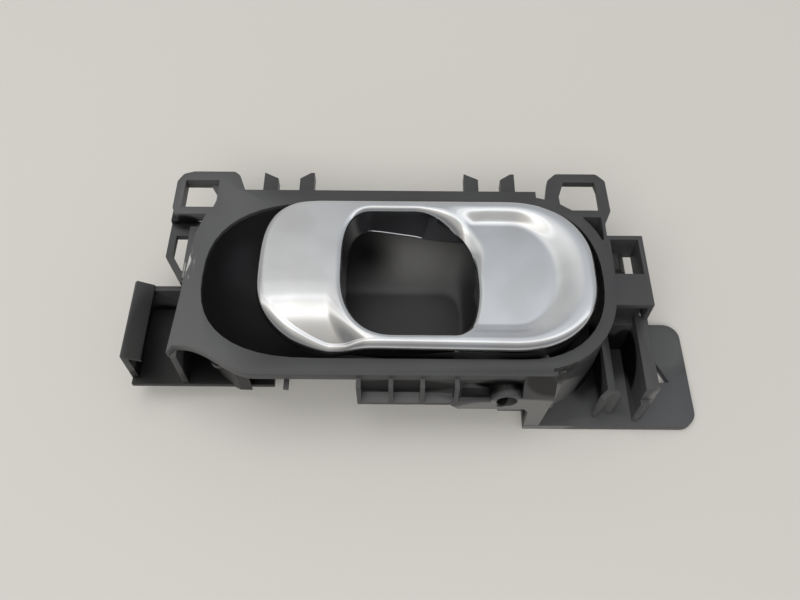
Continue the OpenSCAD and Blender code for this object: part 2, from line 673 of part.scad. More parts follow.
module grip_back() place() color(resin_black) {
    slab(grip_back_z, grip_back_z + grip_plate_t) grip_region(grip_lip + seat);
    slab(grip_back_z + grip_plate_t - eps, -0.6 - seat) difference() {
        grip_region(grip_lip + 2.4 + seat);
        grip_region(grip_lip + 2.4 + seat + 1.2);
    }
}

// Hinge bracket: screwed under the thumb dish, with two barrels and the cable arm
module hinge_bracket() place() color(resin_black) {
    bz0 = bracket_top_z - bracket_t;
    difference() {
        union() {
            slab(bz0, bracket_top_z) bullet(bracket_x0, bracket_x1, bracket_b, bracket_r);
            for (y = [[-barrel_b, spring_room_y], [arm_y0, barrel_b]]) along_y(y[0], y[1], barrel_r, hinge_x, hinge_z);
            for (y = [-bracket_b, spring_room_y - rib_t, arm_y1 + rib_t, bracket_b - rib_t])
                box([bracket_x0 + 3, hinge_x], [y, y + rib_t], [bz0 - 1.6, bz0 + eps]);
            slab_y(arm_y0, arm_y1) {
                polygon([[hinge_x - barrel_r, hinge_z], [hinge_x + barrel_r, hinge_z],
                    [hinge_x + 3, hinge_z - arm_l], [hinge_x - 3, hinge_z - arm_l]]);
                translate([hinge_x, hinge_z - arm_l]) circle(3.6);
            }
        }
        along_y(-plate_b, plate_b, pin_r + run_fit, hinge_x, hinge_z);
        along_y(spring_room_y, arm_y0, coil_r + wire_r + 2 * gap, hinge_x, hinge_z);
        along_y(arm_y0 - eps, arm_y1 + eps, hook_r, hinge_x, hinge_z - arm_l);
        box([hinge_x - 8, hinge_x], [arm_y0 + 1.8, arm_y1 - 1.8], [hinge_z - arm_l - 0.8, hinge_z - arm_l + 0.8]);
        for (p = lever_screws) translate([p[0], p[1], bz0 - 4]) cylinder(r = screw_r + 0.3, h = 12);
    }
}
module slab_y(y0, y1) translate([0, y1, 0]) rotate([90, 0, 0]) linear_extrude(y1 - y0) children();

// Hinge pin with a head at the top, a groove for the clip, and two flanged bushes
pin_y0 = -ear_y1 - 0.9;
module hinge_pin() place() color(steel) {
    difference() {
        union() {
            along_y(pin_y0, ear_y1 + 0.5, pin_r, hinge_x, hinge_z);
            along_y(ear_y1 + 0.1, ear_y1 + 1.3, pin_r + 1.1, hinge_x, hinge_z);
        }
        difference() {
            along_y(-ear_y1 - clip_t - 0.15, -ear_y1 - 0.05, pin_r + 1, hinge_x, hinge_z);
            along_y(-ear_y1 - 2, -ear_y1, pin_r - 0.4, hinge_x, hinge_z);
        }
    }
}
module pin_clip() place() color(steel) {
    difference() {
        along_y(-ear_y1 - clip_t - 0.1, -ear_y1 - 0.1, pin_r + 1.5, hinge_x, hinge_z);
        along_y(-ear_y1 - 2, -ear_y1 + 1, pin_r - 0.35, hinge_x, hinge_z);
        box([hinge_x - pin_r + 0.35, hinge_x + pin_r - 0.35], [-ear_y1 - 2, -ear_y1 + 1], [hinge_z - 6, hinge_z]);
    }
}
module bush(s) {
    y_in = ear_y0 - bush_flange_t;
    difference() {
        union() {
            along_y(min(s * y_in, s * ear_y1), max(s * y_in, s * ear_y1), bush_r - 0.02, hinge_x, hinge_z);
            along_y(min(s * y_in, s * ear_y0), max(s * y_in, s * ear_y0), bush_flange_r, hinge_x, hinge_z);
        }
        along_y(-plate_b, plate_b, pin_r + run_fit, hinge_x, hinge_z);
    }
}
module bush_upper() place() color(resin_black) bush(1);
module bush_lower() place() color(resin_black) bush(-1);

// Return spring: a coil around the pin with one leg on the cross wall and one under the bracket
coil_pitch = 2 * wire_r + 0.12;
coil_y0 = spring_y - coil_pitch * coil_turns / 2;
leg_l = hinge_x - bay_x0 - 0.6;
function coil_path() = concat(
    [[hinge_x - leg_l, coil_y0, hinge_z - coil_r - 0.2], [hinge_x - leg_l / 2, coil_y0, hinge_z - coil_r]],
    [for (i = [0:16 * coil_turns]) let (a = 360 * i / 16)
        [hinge_x + coil_r * sin(a), coil_y0 + coil_pitch * i / 16, hinge_z - coil_r * cos(a)]],
    [[hinge_x + 2.5, coil_y0 + coil_pitch * coil_turns, hinge_z - coil_r + 0.5],
        [hinge_x + 6, coil_y0 + coil_pitch * coil_turns, bracket_top_z - bracket_t - wire_r - gap]]
);
function unit(v) = v / norm(v);
module wire(path, r, sides) {
    m = len(path);
    stack_solid([
        for (i = [0:m - 1])
            let (
                t = unit(path[min(i + 1, m - 1)] - path[max(i - 1, 0)]),
                u = unit(cross(t, [0, 1, 0.001])),
                v = cross(u, t)
            )
            [for (k = [0:sides - 1]) path[i] + r * (u * cos(360 * k / sides) + v * sin(360 * k / sides))]
    ]);
}
module return_spring() place() color(steel) wire(coil_path(), wire_r, 8);

// Rubber stops
module closed_stop(s) place() color(rubber_black)
    translate([bay_x0 + 2.7, s * closed_stop_y, cross_z])
        cylinder(r = stop_r, h = bracket_top_z - bracket_t - gap - cross_z);
module closed_stop_upper() closed_stop(1);
module closed_stop_lower() closed_stop(-1);
module open_stop() place() color(rubber_black)
    translate([open_stop_x, open_stop_y, open_post_z]) cylinder(r = stop_r, h = stop_h);

// Screws
module screw(p, z) place() color(steel) translate([p[0], p[1], z]) {
    translate([0, 0, -screw_head_h]) cylinder(r = screw_head_r, h = screw_head_h);
    translate([0, 0, -eps]) cylinder(r = screw_r, h = screw_l);
}
bowl_screw_z = -plate_t - bowl_boss_h - lug_t;
lever_screw_z = bracket_top_z - bracket_t;

carrier();
finger_bowl();
lever_cover();
grip_back();
hinge_bracket();
hinge_pin();
pin_clip();
bush_upper();
bush_lower();
return_spring();
closed_stop_upper();
closed_stop_lower();
open_stop();
screw(bowl_screws[0], bowl_screw_z);  // bowl_screw_1
screw(bowl_screws[1], bowl_screw_z);  // bowl_screw_2
screw(bowl_screws[2], bowl_screw_z);  // bowl_screw_3
screw(lever_screws[0], lever_screw_z);  // lever_screw_1
screw(lever_screws[1], lever_screw_z);  // lever_screw_2
screw(lever_screws[2], lever_screw_z);  // lever_screw_3
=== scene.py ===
"""Car interior door handle: finishes, fine forms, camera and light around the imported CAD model."""

import logging
import math
from dataclasses import dataclass
from enum import Enum
from typing import Optional, Sequence, Union

import bmesh
import bpy
import numpy as np
from mathutils import Matrix, Vector


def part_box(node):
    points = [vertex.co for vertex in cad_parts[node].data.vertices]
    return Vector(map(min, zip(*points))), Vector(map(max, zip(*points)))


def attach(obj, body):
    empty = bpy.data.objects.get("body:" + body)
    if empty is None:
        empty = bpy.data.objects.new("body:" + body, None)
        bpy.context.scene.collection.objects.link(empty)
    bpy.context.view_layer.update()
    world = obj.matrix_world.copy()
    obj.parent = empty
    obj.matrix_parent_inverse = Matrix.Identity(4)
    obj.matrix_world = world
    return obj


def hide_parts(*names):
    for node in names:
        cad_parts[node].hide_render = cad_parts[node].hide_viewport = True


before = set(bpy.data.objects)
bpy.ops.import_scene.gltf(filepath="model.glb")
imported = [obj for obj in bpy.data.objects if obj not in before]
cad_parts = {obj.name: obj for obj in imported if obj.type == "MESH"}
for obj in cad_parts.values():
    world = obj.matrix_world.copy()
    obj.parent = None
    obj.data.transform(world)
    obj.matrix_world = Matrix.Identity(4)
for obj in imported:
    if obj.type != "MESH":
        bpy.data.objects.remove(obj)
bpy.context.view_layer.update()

LOG = logging.getLogger("handle")
MM = 0.001
Number = Union[int, float]
Value = Union["Sock", Number]
Vectorial = Union["Sock", Sequence[float]]
Triple = tuple[float, float, float]
Piece = bpy.types.Object
MIX_COLOUR_INPUTS = (6, 7)  # the Mix node's two colours
MIX_COLOUR_OUTPUT = 2


# Shader expressions
class Sock:
    """A node socket that takes part in Python expressions."""

    def __init__(self, recipe: "Recipe", socket: bpy.types.NodeSocket) -> None:
        """Keeps the socket and the tree that it belongs to."""
        self.recipe = recipe
        self.socket = socket

    def _math(self, operation: str, *values: Value) -> "Sock":
        """Adds one Math node."""
        return self.recipe.node("ShaderNodeMath", {"operation": operation}, dict(enumerate(values)))

    def __add__(self, other: Value) -> "Sock":
        """Sum."""
        return self._math("ADD", self, other)

    def __sub__(self, other: Value) -> "Sock":
        """Difference."""
        return self._math("SUBTRACT", self, other)

    def __rsub__(self, other: Number) -> "Sock":
        """Difference with the socket on the right."""
        return self._math("SUBTRACT", other, self)

    def __mul__(self, other: Value) -> "Sock":
        """Product."""
        return self._math("MULTIPLY", self, other)

    def __truediv__(self, other: Value) -> "Sock":
        """Quotient."""
        return self._math("DIVIDE", self, other)

    def step(self, low: Number, high: Number) -> "Sock":
        """A smooth step that is 0 at low and 1 at high, either of which may be the larger."""
        return self.recipe.node(
            "ShaderNodeMapRange",
            {"interpolation_type": "SMOOTHSTEP"},
            {"Value": self, "From Min": low, "From Max": high, "To Min": 0.0, "To Max": 1.0},
        )


class Recipe:
    """The node tree of one material or of the world."""

    def __init__(self, tree: bpy.types.NodeTree) -> None:
        """Empties the tree."""
        self.tree = tree
        tree.nodes.clear()

    @classmethod
    def material(cls, name: str) -> tuple[bpy.types.Material, "Recipe"]:
        """Makes a new material with an empty tree.

        Args:
            name: Its name.

        Returns:
            The material and its recipe.
        """
        made = bpy.data.materials.new(name)
        made.use_nodes = True
        return made, cls(made.node_tree)

    def node(
        self,
        kind: str,
        settings: Optional[dict] = None,
        inputs: Optional[dict] = None,
        output: Union[int, str] = 0,
    ) -> Optional[Sock]:
        """Adds a node, sets it up, then feeds its sockets.

        Args:
            kind: The node's type.
            settings: Its properties; a ramp's stops go in under "stops".
            inputs: Values or Socks by socket name or place.
            output: The output that is wanted.

        Returns:
            That output, or nothing from a node without outputs.
        """
        made = self.tree.nodes.new(kind)
        for key, value in (settings or {}).items():
            if key == "stops":
                ramp = made.color_ramp.elements
                while len(ramp) < len(value):
                    ramp.new(0.5)
                for element, (place, colour) in zip(ramp, value):
                    element.position, element.color = place, colour
            else:
                setattr(made, key, value)
        for key, value in (inputs or {}).items():
            target = made.inputs[key]
            if isinstance(value, Sock):
                self.tree.links.new(value.socket, target)
            else:
                target.default_value = value
        return Sock(self, made.outputs[output]) if len(made.outputs) else None

    def place(self) -> Sock:
        """The point on the surface in the object's own metres."""
        return self.node("ShaderNodeTexCoord", output="Object")

    def axis(self, vector: Sock, name: str) -> Sock:
        """One of a vector's three numbers."""
        return self.node("ShaderNodeSeparateXYZ", inputs={0: vector}, output=name)

    def vector(self, operation: str, *values: Vectorial, output: Union[int, str] = 0) -> Sock:
        """Adds one Vector Math node."""
        settings = {"operation": operation}
        return self.node("ShaderNodeVectorMath", settings, dict(enumerate(values)), output)

    def ray(self, name: str) -> Sock:
        """1 for rays of one kind, and 0 for others."""
        return self.node("ShaderNodeLightPath", output=name)

    def noise(self, scale: float, detail: float = 2.0, at: Optional[Sock] = None) -> Sock:
        """Fractal noise between 0 and 1, with scale in waves to the metre."""
        inputs = {"Vector": at or self.place(), "Scale": scale, "Detail": detail}
        return self.node("ShaderNodeTexNoise", inputs=inputs)

    def stretched(self, factors: Sequence[float]) -> Sock:
        """The surface point multiplied along each axis."""
        return self.vector("MULTIPLY", self.place(), factors)

    def mixed(self, share: Sock, first: Vectorial, second: Vectorial) -> Sock:
        """A colour that goes from the first to the second as the share goes from 0 to 1."""
        ends = [end if isinstance(end, Sock) else (*end, 1.0) for end in (first, second)]
        inputs = {0: share, **dict(zip(MIX_COLOUR_INPUTS, ends))}
        return self.node("ShaderNodeMix", {"data_type": "RGBA"}, inputs, MIX_COLOUR_OUTPUT)

    def bump(self, height: Sock, depth_mm: float, strength: float) -> Sock:
        """A normal with a relief, depth_mm high where the height is 1."""
        inputs = {"Strength": strength, "Distance": depth_mm * MM, "Height": height}
        return self.node("ShaderNodeBump", inputs=inputs)

    def glow(self, kind: str, colour: Vectorial, strength: Value) -> Sock:
        """A shader that gives off light."""
        colour = colour if isinstance(colour, Sock) else (*colour, 1.0)
        return self.node(kind, inputs={"Color": colour, "Strength": strength})

    def shaders(self, share: Sock, first: Sock, second: Sock) -> Sock:
        """A shader between two shaders."""
        return self.node("ShaderNodeMixShader", inputs={0: share, 1: first, 2: second})

    def surface(self, inputs: dict) -> None:
        """Ends the tree in a Principled shader with these inputs."""
        shader = self.node("ShaderNodeBsdfPrincipled", inputs=inputs)
        self.node("ShaderNodeOutputMaterial", inputs={"Surface": shader})


def linear(*levels: float) -> tuple[float, ...]:
    """Turns screen levels of 0 to 255 into scene-linear colour."""
    return tuple(v / 255 / 12.92 if v <= 10 else ((v / 255 + 0.055) / 1.055) ** 2.4 for v in levels)


# Finishes
@dataclass(frozen=True)
class Patch:
    """A round place on a moulding that is darker or lighter than the rest: painted light or shade,
    or a real scuff.

    It shows in full over the hard share of its reach, and only on faces that point to facing.
    """

    centre_mm: Triple
    reach_mm: Triple
    levels: Triple
    hard: float = 0.0
    facing: Optional[Triple] = None

    def share(self, r: Recipe) -> Sock:
        """How much of the patch shows.

        Args:
            r: The material's recipe.

        Returns:
            0 to 1.
        """
        shifted = r.vector("SUBTRACT", r.place(), tuple(v * MM for v in self.centre_mm))
        scaled = r.vector("MULTIPLY", shifted, tuple(1 / (v * MM) for v in self.reach_mm))
        share = r.vector("LENGTH", scaled, output="Value").step(1.0, self.hard)
        if self.facing:
            normal = r.node("ShaderNodeTexCoord", output="Normal")
            turned = r.vector("DOT_PRODUCT", normal, self.facing, output="Value")
            share = share * turned.step(0.7, 0.95)
        return share


@dataclass(frozen=True)
class GrainedPlastic:
    """A moulded plastic with a fine eroded grain."""

    name: str
    colour: tuple[float, ...]
    lighter: tuple[float, ...]
    roughness: float = 0.5
    grain_mm: float = 0.35
    relief_mm: float = 0.012
    gloss: float = 0.5
    painted_light_and_shade: tuple[Patch, ...] = ()
    scuffed: Optional[Patch] = None

    def make(self) -> bpy.types.Material:
        """Builds the material.

        Returns:
            The material.
        """
        made, r = Recipe.material(self.name)
        grain = r.noise(1 / (self.grain_mm * MM), 3.0)
        cloud = r.noise(45.0, 3.0)
        tone = (cloud * 0.75 + grain * 0.25).step(0.32, 0.72)
        colour = r.mixed(tone, self.colour, self.lighter)
        # Painted light and shade: each of these patches lightens or darkens the colour in one place.
        for patch in self.painted_light_and_shade:
            colour = r.mixed(patch.share(r), colour, linear(*patch.levels))
        if self.scuffed:
            streaks = r.noise(900.0, 4.0, r.stretched((1.0, 0.22, 1.0)))
            mask = self.scuffed.share(r) * streaks.step(0.48, 0.58)
            colour = r.mixed(mask * 0.85, colour, linear(*self.scuffed.levels))
        r.surface(
            {
                "Base Color": colour,
                "Roughness": grain * 0.14 + cloud * 0.1 + (self.roughness - 0.12),
                "Specular IOR Level": self.gloss,
                "Normal": r.bump(grain, self.relief_mm, 0.6),
            }
        )
        return made


@dataclass(frozen=True)
class SatinChrome:
    """Satin chrome plating."""

    name: str = "chrome_plating"
    colour: tuple[float, ...] = linear(214, 216, 219)
    darker: tuple[float, ...] = linear(206, 207, 209)
    roughness: float = 0.18

    def make(self) -> bpy.types.Material:
        """Builds the material.

        Returns:
            The material.
        """
        made, r = Recipe.material(self.name)
        cloud = r.noise(60.0, 2.0)
        fine = r.noise(2600.0, 2.0)
        r.surface(
            {
                "Base Color": r.mixed(cloud.step(0.35, 0.65), self.colour, self.darker),
                "Metallic": 1.0,
                "Roughness": cloud * 0.05 + fine * 0.05 + (self.roughness - 0.05),
                "Normal": r.bump(fine, 0.002, 0.25),
            }
        )
        return made


@dataclass(frozen=True)
class PlatedSteel:
    """Zinc-plated steel, drawn or turned."""

    name: str = "zinc_plating"
    colour: tuple[float, ...] = linear(178, 178, 172)
    darker: tuple[float, ...] = linear(140, 139, 133)
    roughness: float = 0.34

    def make(self) -> bpy.types.Material:
        """Builds the material.

        Returns:
            The material.
        """
        made, r = Recipe.material(self.name)
        lines = r.noise(2200.0, 2.0, r.stretched((1.0, 0.1, 1.0)))
        cloud = r.noise(500.0, 3.0)
        r.surface(
            {
                "Base Color": r.mixed(cloud.step(0.3, 0.7), self.colour, self.darker),
                "Metallic": 1.0,
                "Roughness": lines * 0.16 + (self.roughness - 0.08),
                "Normal": r.bump(lines, 0.004, 0.4),
            }
        )
        return made


@dataclass(frozen=True)
class FloorPaint:
    """The pale floor that the handle lies on, with painted light that makes it paler to the back,
    and even far off.
    """

    name: str = "pale_floor"
    colour: tuple[float, ...] = linear(206, 204, 200)
    lit_back_colour: tuple[float, ...] = linear(224, 222, 216)
    far: tuple[float, ...] = linear(212, 210, 206)

    def make(self) -> bpy.types.Material:
        """Builds the material.

        Returns:
            The material.
        """
        made, r = Recipe.material(self.name)
        cloud = r.noise(3.0, 2.0)
        # Painted light: the colour grows paler towards the back.
        far = r.axis(r.place(), "Y").step(-0.25, 0.5)
        matt = r.node(
            "ShaderNodeBsdfPrincipled",
            inputs={
                "Base Color": r.mixed(cloud * 0.3 + far * 0.7, self.colour, self.lit_back_colour),
                "Roughness": 0.75,
                "Specular IOR Level": 0.2,
            },
        )
        off = r.vector("LENGTH", r.place(), output="Value")
        pale = r.glow("ShaderNodeEmission", self.far, 1.0)
        mix = r.shaders(r.ray("Is Camera Ray") * off.step(0.3, 0.8), matt, pale)
        r.node("ShaderNodeOutputMaterial", inputs={"Surface": mix})
        return made


FRONT = (0.0, -1.0, 0.0)
UP = (0.0, 0.0, 1.0)


class Finish(Enum):
    """The finishes of the handle's pieces."""

    CARRIER = GrainedPlastic(
        "grained_grey",
        linear(55, 55, 57),
        linear(62, 63, 64),
        0.46,
        gloss=0.48,
        painted_light_and_shade=(
            # Painted light: the plate's left top is lighter, as a sheen.
            Patch((-68, 0, 32), (34, 70, 8), (79, 80, 81), 0.5),
            # Painted shade in recesses, in the next five rows: the tray, the left bracket, the ear's
            # opening, the right channel and the front under the plate's left.
            Patch((-79, -20, 6), (12.5, 24, 11), (3, 3, 4), 0.85),
            Patch((-81, -20, 22), (6, 22, 6), (18, 17, 16), 0.5),
            Patch((-73, 20, 26), (6, 4, 4), (4, 4, 5), 0.6),
            Patch((58, -18, 3), (14, 17, 12), (5, 5, 6), 0.75),
            Patch((-52, -33, 10), (16, 12, 14), (20, 20, 22), 0.6),
            # Painted light on the front faces of the right part.
            Patch((30, -34, 9), (24, 30, 13), (106, 106, 106), 0.88, FRONT),
            # Painted shade in recesses, in the next seven rows: the wall under the plate, the
            # pockets behind the ribs, the right channels, the lower left and the boss hole.
            Patch((38, -34, 28), (9, 8, 7.4), (10, 10, 11), 0.8, FRONT),
            Patch((-5, -34.5, 22.5), (21, 2.2, 5), (14, 14, 15), 0.8, FRONT),
            Patch((64.5, -19, 7), (4.6, 11, 12), (6, 6, 7), 0.85),
            Patch((53.5, -22, 4), (6, 9, 9), (12, 12, 13), 0.6),
            Patch((-62, -24, 12), (11, 9, 11.5), (10, 10, 11), 0.8),
            Patch((24, -33, 22), (9.5, 5.5, 8), (3, 3, 4), 0.75),
            Patch((24.2, -33.5, 17), (3.1, 6, 3.1), (2, 2, 2), 0.9),
            # Painted light, in the last four rows: the flange, a front face beside it, the shelf's
            # upper faces and the clip's floor.
            Patch((78, -42, 2), (34, 24, 7), (68, 69, 71), 0.8),
            Patch((71, -36, 17), (4, 4, 6), (101, 101, 101), 0.6),
            Patch((-5, -37.3, 18.5), (25, 2, 1.6), (84, 84, 85), 0.8, UP),
            Patch((79, -12, 2.5), (10, 11, 3), (80, 81, 82), 0.5),
        ),
        scuffed=Patch((-68.5, 1, 28), (2.6, 8, 7), (198, 198, 194), 0.3),
    )
    # Painted highlight: the carrier's rounded edges get this lighter, glossier colour.
    WORN_EDGE = GrainedPlastic(
        "painted_edge_highlight", linear(78, 79, 80), linear(128, 129, 128), 0.42, gloss=0.75
    )
    BOWL = GrainedPlastic(
        "grained_black",
        linear(34, 34, 36),
        linear(40, 40, 42),
        0.42,
        grain_mm=0.25,
        relief_mm=0.006,
        painted_light_and_shade=(
            # Painted light and shade: the first row lightens the floor where light falls through the
            # window, the second and fourth paint sheen on the back and left walls, the third paints
            # shade in the upper left.
            Patch((4, 4, 4), (32, 28, 22), (52, 52, 55)),
            Patch((0, 16, 12), (27, 15, 15), (112, 112, 110)),
            Patch((-16, 18, 10), (14, 12, 20), (8, 8, 8)),
            Patch((-52, 4, 20), (10, 14, 11), (100, 100, 108)),
        ),
    )
    RESIN = GrainedPlastic(
        "dull_resin", linear(30, 31, 33), linear(40, 41, 43), 0.5, grain_mm=0.3, relief_mm=0.008
    )
    RUBBER = GrainedPlastic(
        "dull_rubber", linear(22, 22, 22), linear(32, 32, 31), 0.8, grain_mm=0.5, relief_mm=0.02
    )
    CHROME = SatinChrome()
    STEEL = PlatedSteel()
    BLACK_STEEL = PlatedSteel("black_plating", linear(52, 52, 54), linear(38, 38, 40), 0.45)
    FLOOR = FloorPaint()

    def material(self) -> bpy.types.Material:
        """The finish's material, made once."""
        return bpy.data.materials.get(self.value.name) or self.value.make()


# Forms shared by the pieces
def smooth(t: np.ndarray) -> np.ndarray:
    """A smooth step from 0 to 1 of numbers that run from 0 to 1."""
    u = np.clip(t, 0.0, 1.0)
    return u * u * (3 - 2 * u)


def ramp(values: np.ndarray, start: float, run: float) -> np.ndarray:
    """A smooth step that is 0 at start and 1 at start + run."""
    return smooth((values - start) / run)


def corner(
    centre: Sequence[float], reach: Sequence[float], n: float, a0: float, a1: float, k: int
) -> np.ndarray:
    """Points of one rounded corner.

    Args:
        centre: Its centre.
        reach: Its radii along X and Y.
        n: 2 is an ellipse, and more is squarer.
        a0: Angle of the first point in degrees.
        a1: Angle of the last point in degrees.
        k: Steps.

    Returns:
        k + 1 points.
    """
    a = np.radians(np.linspace(a0, a1, k + 1))
    c, s = np.cos(a), np.sin(a)
    x = centre[0] + reach[0] * np.sign(c) * np.abs(c) ** (2 / n)
    y = centre[1] + reach[1] * np.sign(s) * np.abs(s) ** (2 / n)
    return np.stack([x, y], 1)


def evenly(line: np.ndarray, count: int) -> np.ndarray:
    """Places along a closed line, equally far apart.

    Args:
        line: The line's points.
        count: How many places there are.

    Returns:
        Each place as a fraction of the line's point numbers.
    """
    closed = np.vstack([line, line[:1]])
    steps = np.linalg.norm(np.diff(closed, axis=0), axis=1)
    length = np.concatenate([[0], np.cumsum(steps)])
    wanted = np.linspace(0, length[-1], count, endpoint=False)
    return np.interp(wanted, length, np.arange(len(closed)))


def at_places(line: np.ndarray, places: np.ndarray) -> np.ndarray:
    """The points of a closed line at places from evenly."""
    closed = np.vstack([line, line[:1]])
    whole = np.arange(len(closed))
    return np.stack([np.interp(places, whole, closed[:, i]) for i in range(2)], 1)


def eased(values: np.ndarray, span: int = 6) -> np.ndarray:
    """Numbers along a closed line, averaged over their neighbours."""
    weights = np.hanning(2 * span + 3)[1:-1]
    padded = np.concatenate([values[-span:], values, values[:span]])
    return np.convolve(padded, weights / weights.sum(), "valid")


def lifted(points: np.ndarray, height: np.ndarray) -> np.ndarray:
    """Flat points, each at its height."""
    return np.column_stack([points, height])


def rectangle(x0: float, x1: float, y0: float, y1: float) -> np.ndarray:
    """The corners of a rectangle, anticlockwise."""
    return np.array([(x0, y0), (x1, y0), (x1, y1), (x0, y1)])


def linked(name: str, data: bpy.types.ID) -> Piece:
    """Makes an object of the data and puts it into the scene."""
    made = bpy.data.objects.new(name, data)
    bpy.context.scene.collection.objects.link(made)
    return made


def new_piece(
    name: str, verts: np.ndarray, faces: Sequence[Sequence[int]], finish: Finish
) -> Piece:
    """Makes a mesh object.

    Args:
        name: The piece's name.
        verts: Points in millimetres in the part's frame.
        faces: Point numbers of each face.
        finish: Its finish.

    Returns:
        The object.
    """
    mesh = bpy.data.meshes.new(name)
    mesh.from_pydata((np.asarray(verts) * MM).tolist(), [], [list(f) for f in faces])
    mesh.validate()
    mesh.materials.append(finish.material())
    return linked(name, mesh)


def ring_faces(rings: int, n: int, closed: bool) -> list[list[int]]:
    """Faces between neighbouring rings of n points.

    Args:
        rings: How many rings there are.
        n: Points of each ring.
        closed: Whether the last ring joins the first.

    Returns:
        The faces.
    """
    faces = []
    for j in range(rings if closed else rings - 1):
        a, b = j * n, (j + 1) % rings * n
        faces += [[a + i, a + (i + 1) % n, b + (i + 1) % n, b + i] for i in range(n)]
    return faces


def solid_faces(rings: int, n: int) -> list[list[int]]:
    """Faces of a solid of stacked rings of n points, with both ends closed."""
    last = (rings - 1) * n
    return ring_faces(rings, n, False) + [list(range(n))[::-1], list(range(last, last + n))]


def shade(obj: Piece, angle: float) -> None:
    """Shades a piece smooth.

    Args:
        obj: The piece.
        angle: Edges sharper than this many degrees stay sharp.
    """
    mesh = obj.data
    mesh.polygons.foreach_set("use_smooth", [True] * len(mesh.polygons))
    mesh.set_sharp_from_angle(angle=math.radians(angle))
    mesh.update()


def apply_modifiers(obj: Piece) -> None:
    """Replaces a mesh by what its modifiers make of it.

    Args:
        obj: The piece.
    """
    graph = bpy.context.evaluated_depsgraph_get()
    made = bpy.data.meshes.new_from_object(obj.evaluated_get(graph))
    old = obj.data
    obj.modifiers.clear()
    obj.data = made
    bpy.data.meshes.remove(old)


def refinish(obj: Piece, finish: Finish) -> None:
    """Gives every face the same finish.

    Args:
        obj: The piece.
        finish: The finish.
    """
    obj.data.materials.clear()
    obj.data.materials.append(finish.material())
    for face in obj.data.polygons:
        face.material_index = 0


def weld(obj: Piece, distance_mm: float) -> None:
    """Joins points that lie closer than the distance.

    Args:
        obj: The piece.
        distance_mm: The distance.
    """
    bm = bmesh.new()
    bm.from_mesh(obj.data)
    bmesh.ops.remove_doubles(bm, verts=bm.verts, dist=distance_mm * MM)
    bm.to_mesh(obj.data)
    bm.free()


def combine(
    obj: Piece, tool: Piece, operation: str = "DIFFERENCE"
) -> None:
    """Cuts a solid out of a piece, or adds it.

    Args:
        obj: The piece.
        tool: The solid, which is deleted.
        operation: DIFFERENCE or UNION.
    """
    step = obj.modifiers.new("combine", "BOOLEAN")
    step.operation, step.solver, step.object = operation, "MANIFOLD", tool
    apply_modifiers(obj)
    bpy.data.objects.remove(tool)


def prism(name: str, outline: np.ndarray, z0: float, z1: float) -> Piece:
    """A straight solid over an outline.

    Args:
        name: Its name.
        outline: Points in X and Y, anticlockwise.
        z0: Its lower height.
        z1: Its upper height.

    Returns:
        The solid.
    """
    n = len(outline)
    verts = np.vstack([lifted(outline, np.full(n, z)) for z in (z0, z1)])
    return new_piece(name, verts, solid_faces(2, n), Finish.RESIN)


@dataclass
class Datum:
    """The middle of the finger opening on the front of the face plate, in the part's frame."""

    x: float = -4.0
    y: float = -3.3
    z: float = 30.0

    def put(self, verts: np.ndarray) -> np.ndarray:
        """Moves points from the datum to the part's frame."""
        return np.asarray(verts, float) + np.array([self.x, self.y, self.z])

    def put_flat(self, line: np.ndarray) -> np.ndarray:
        """Moves an outline from the datum to the part's frame."""
        return line + np.array([self.x, self.y])


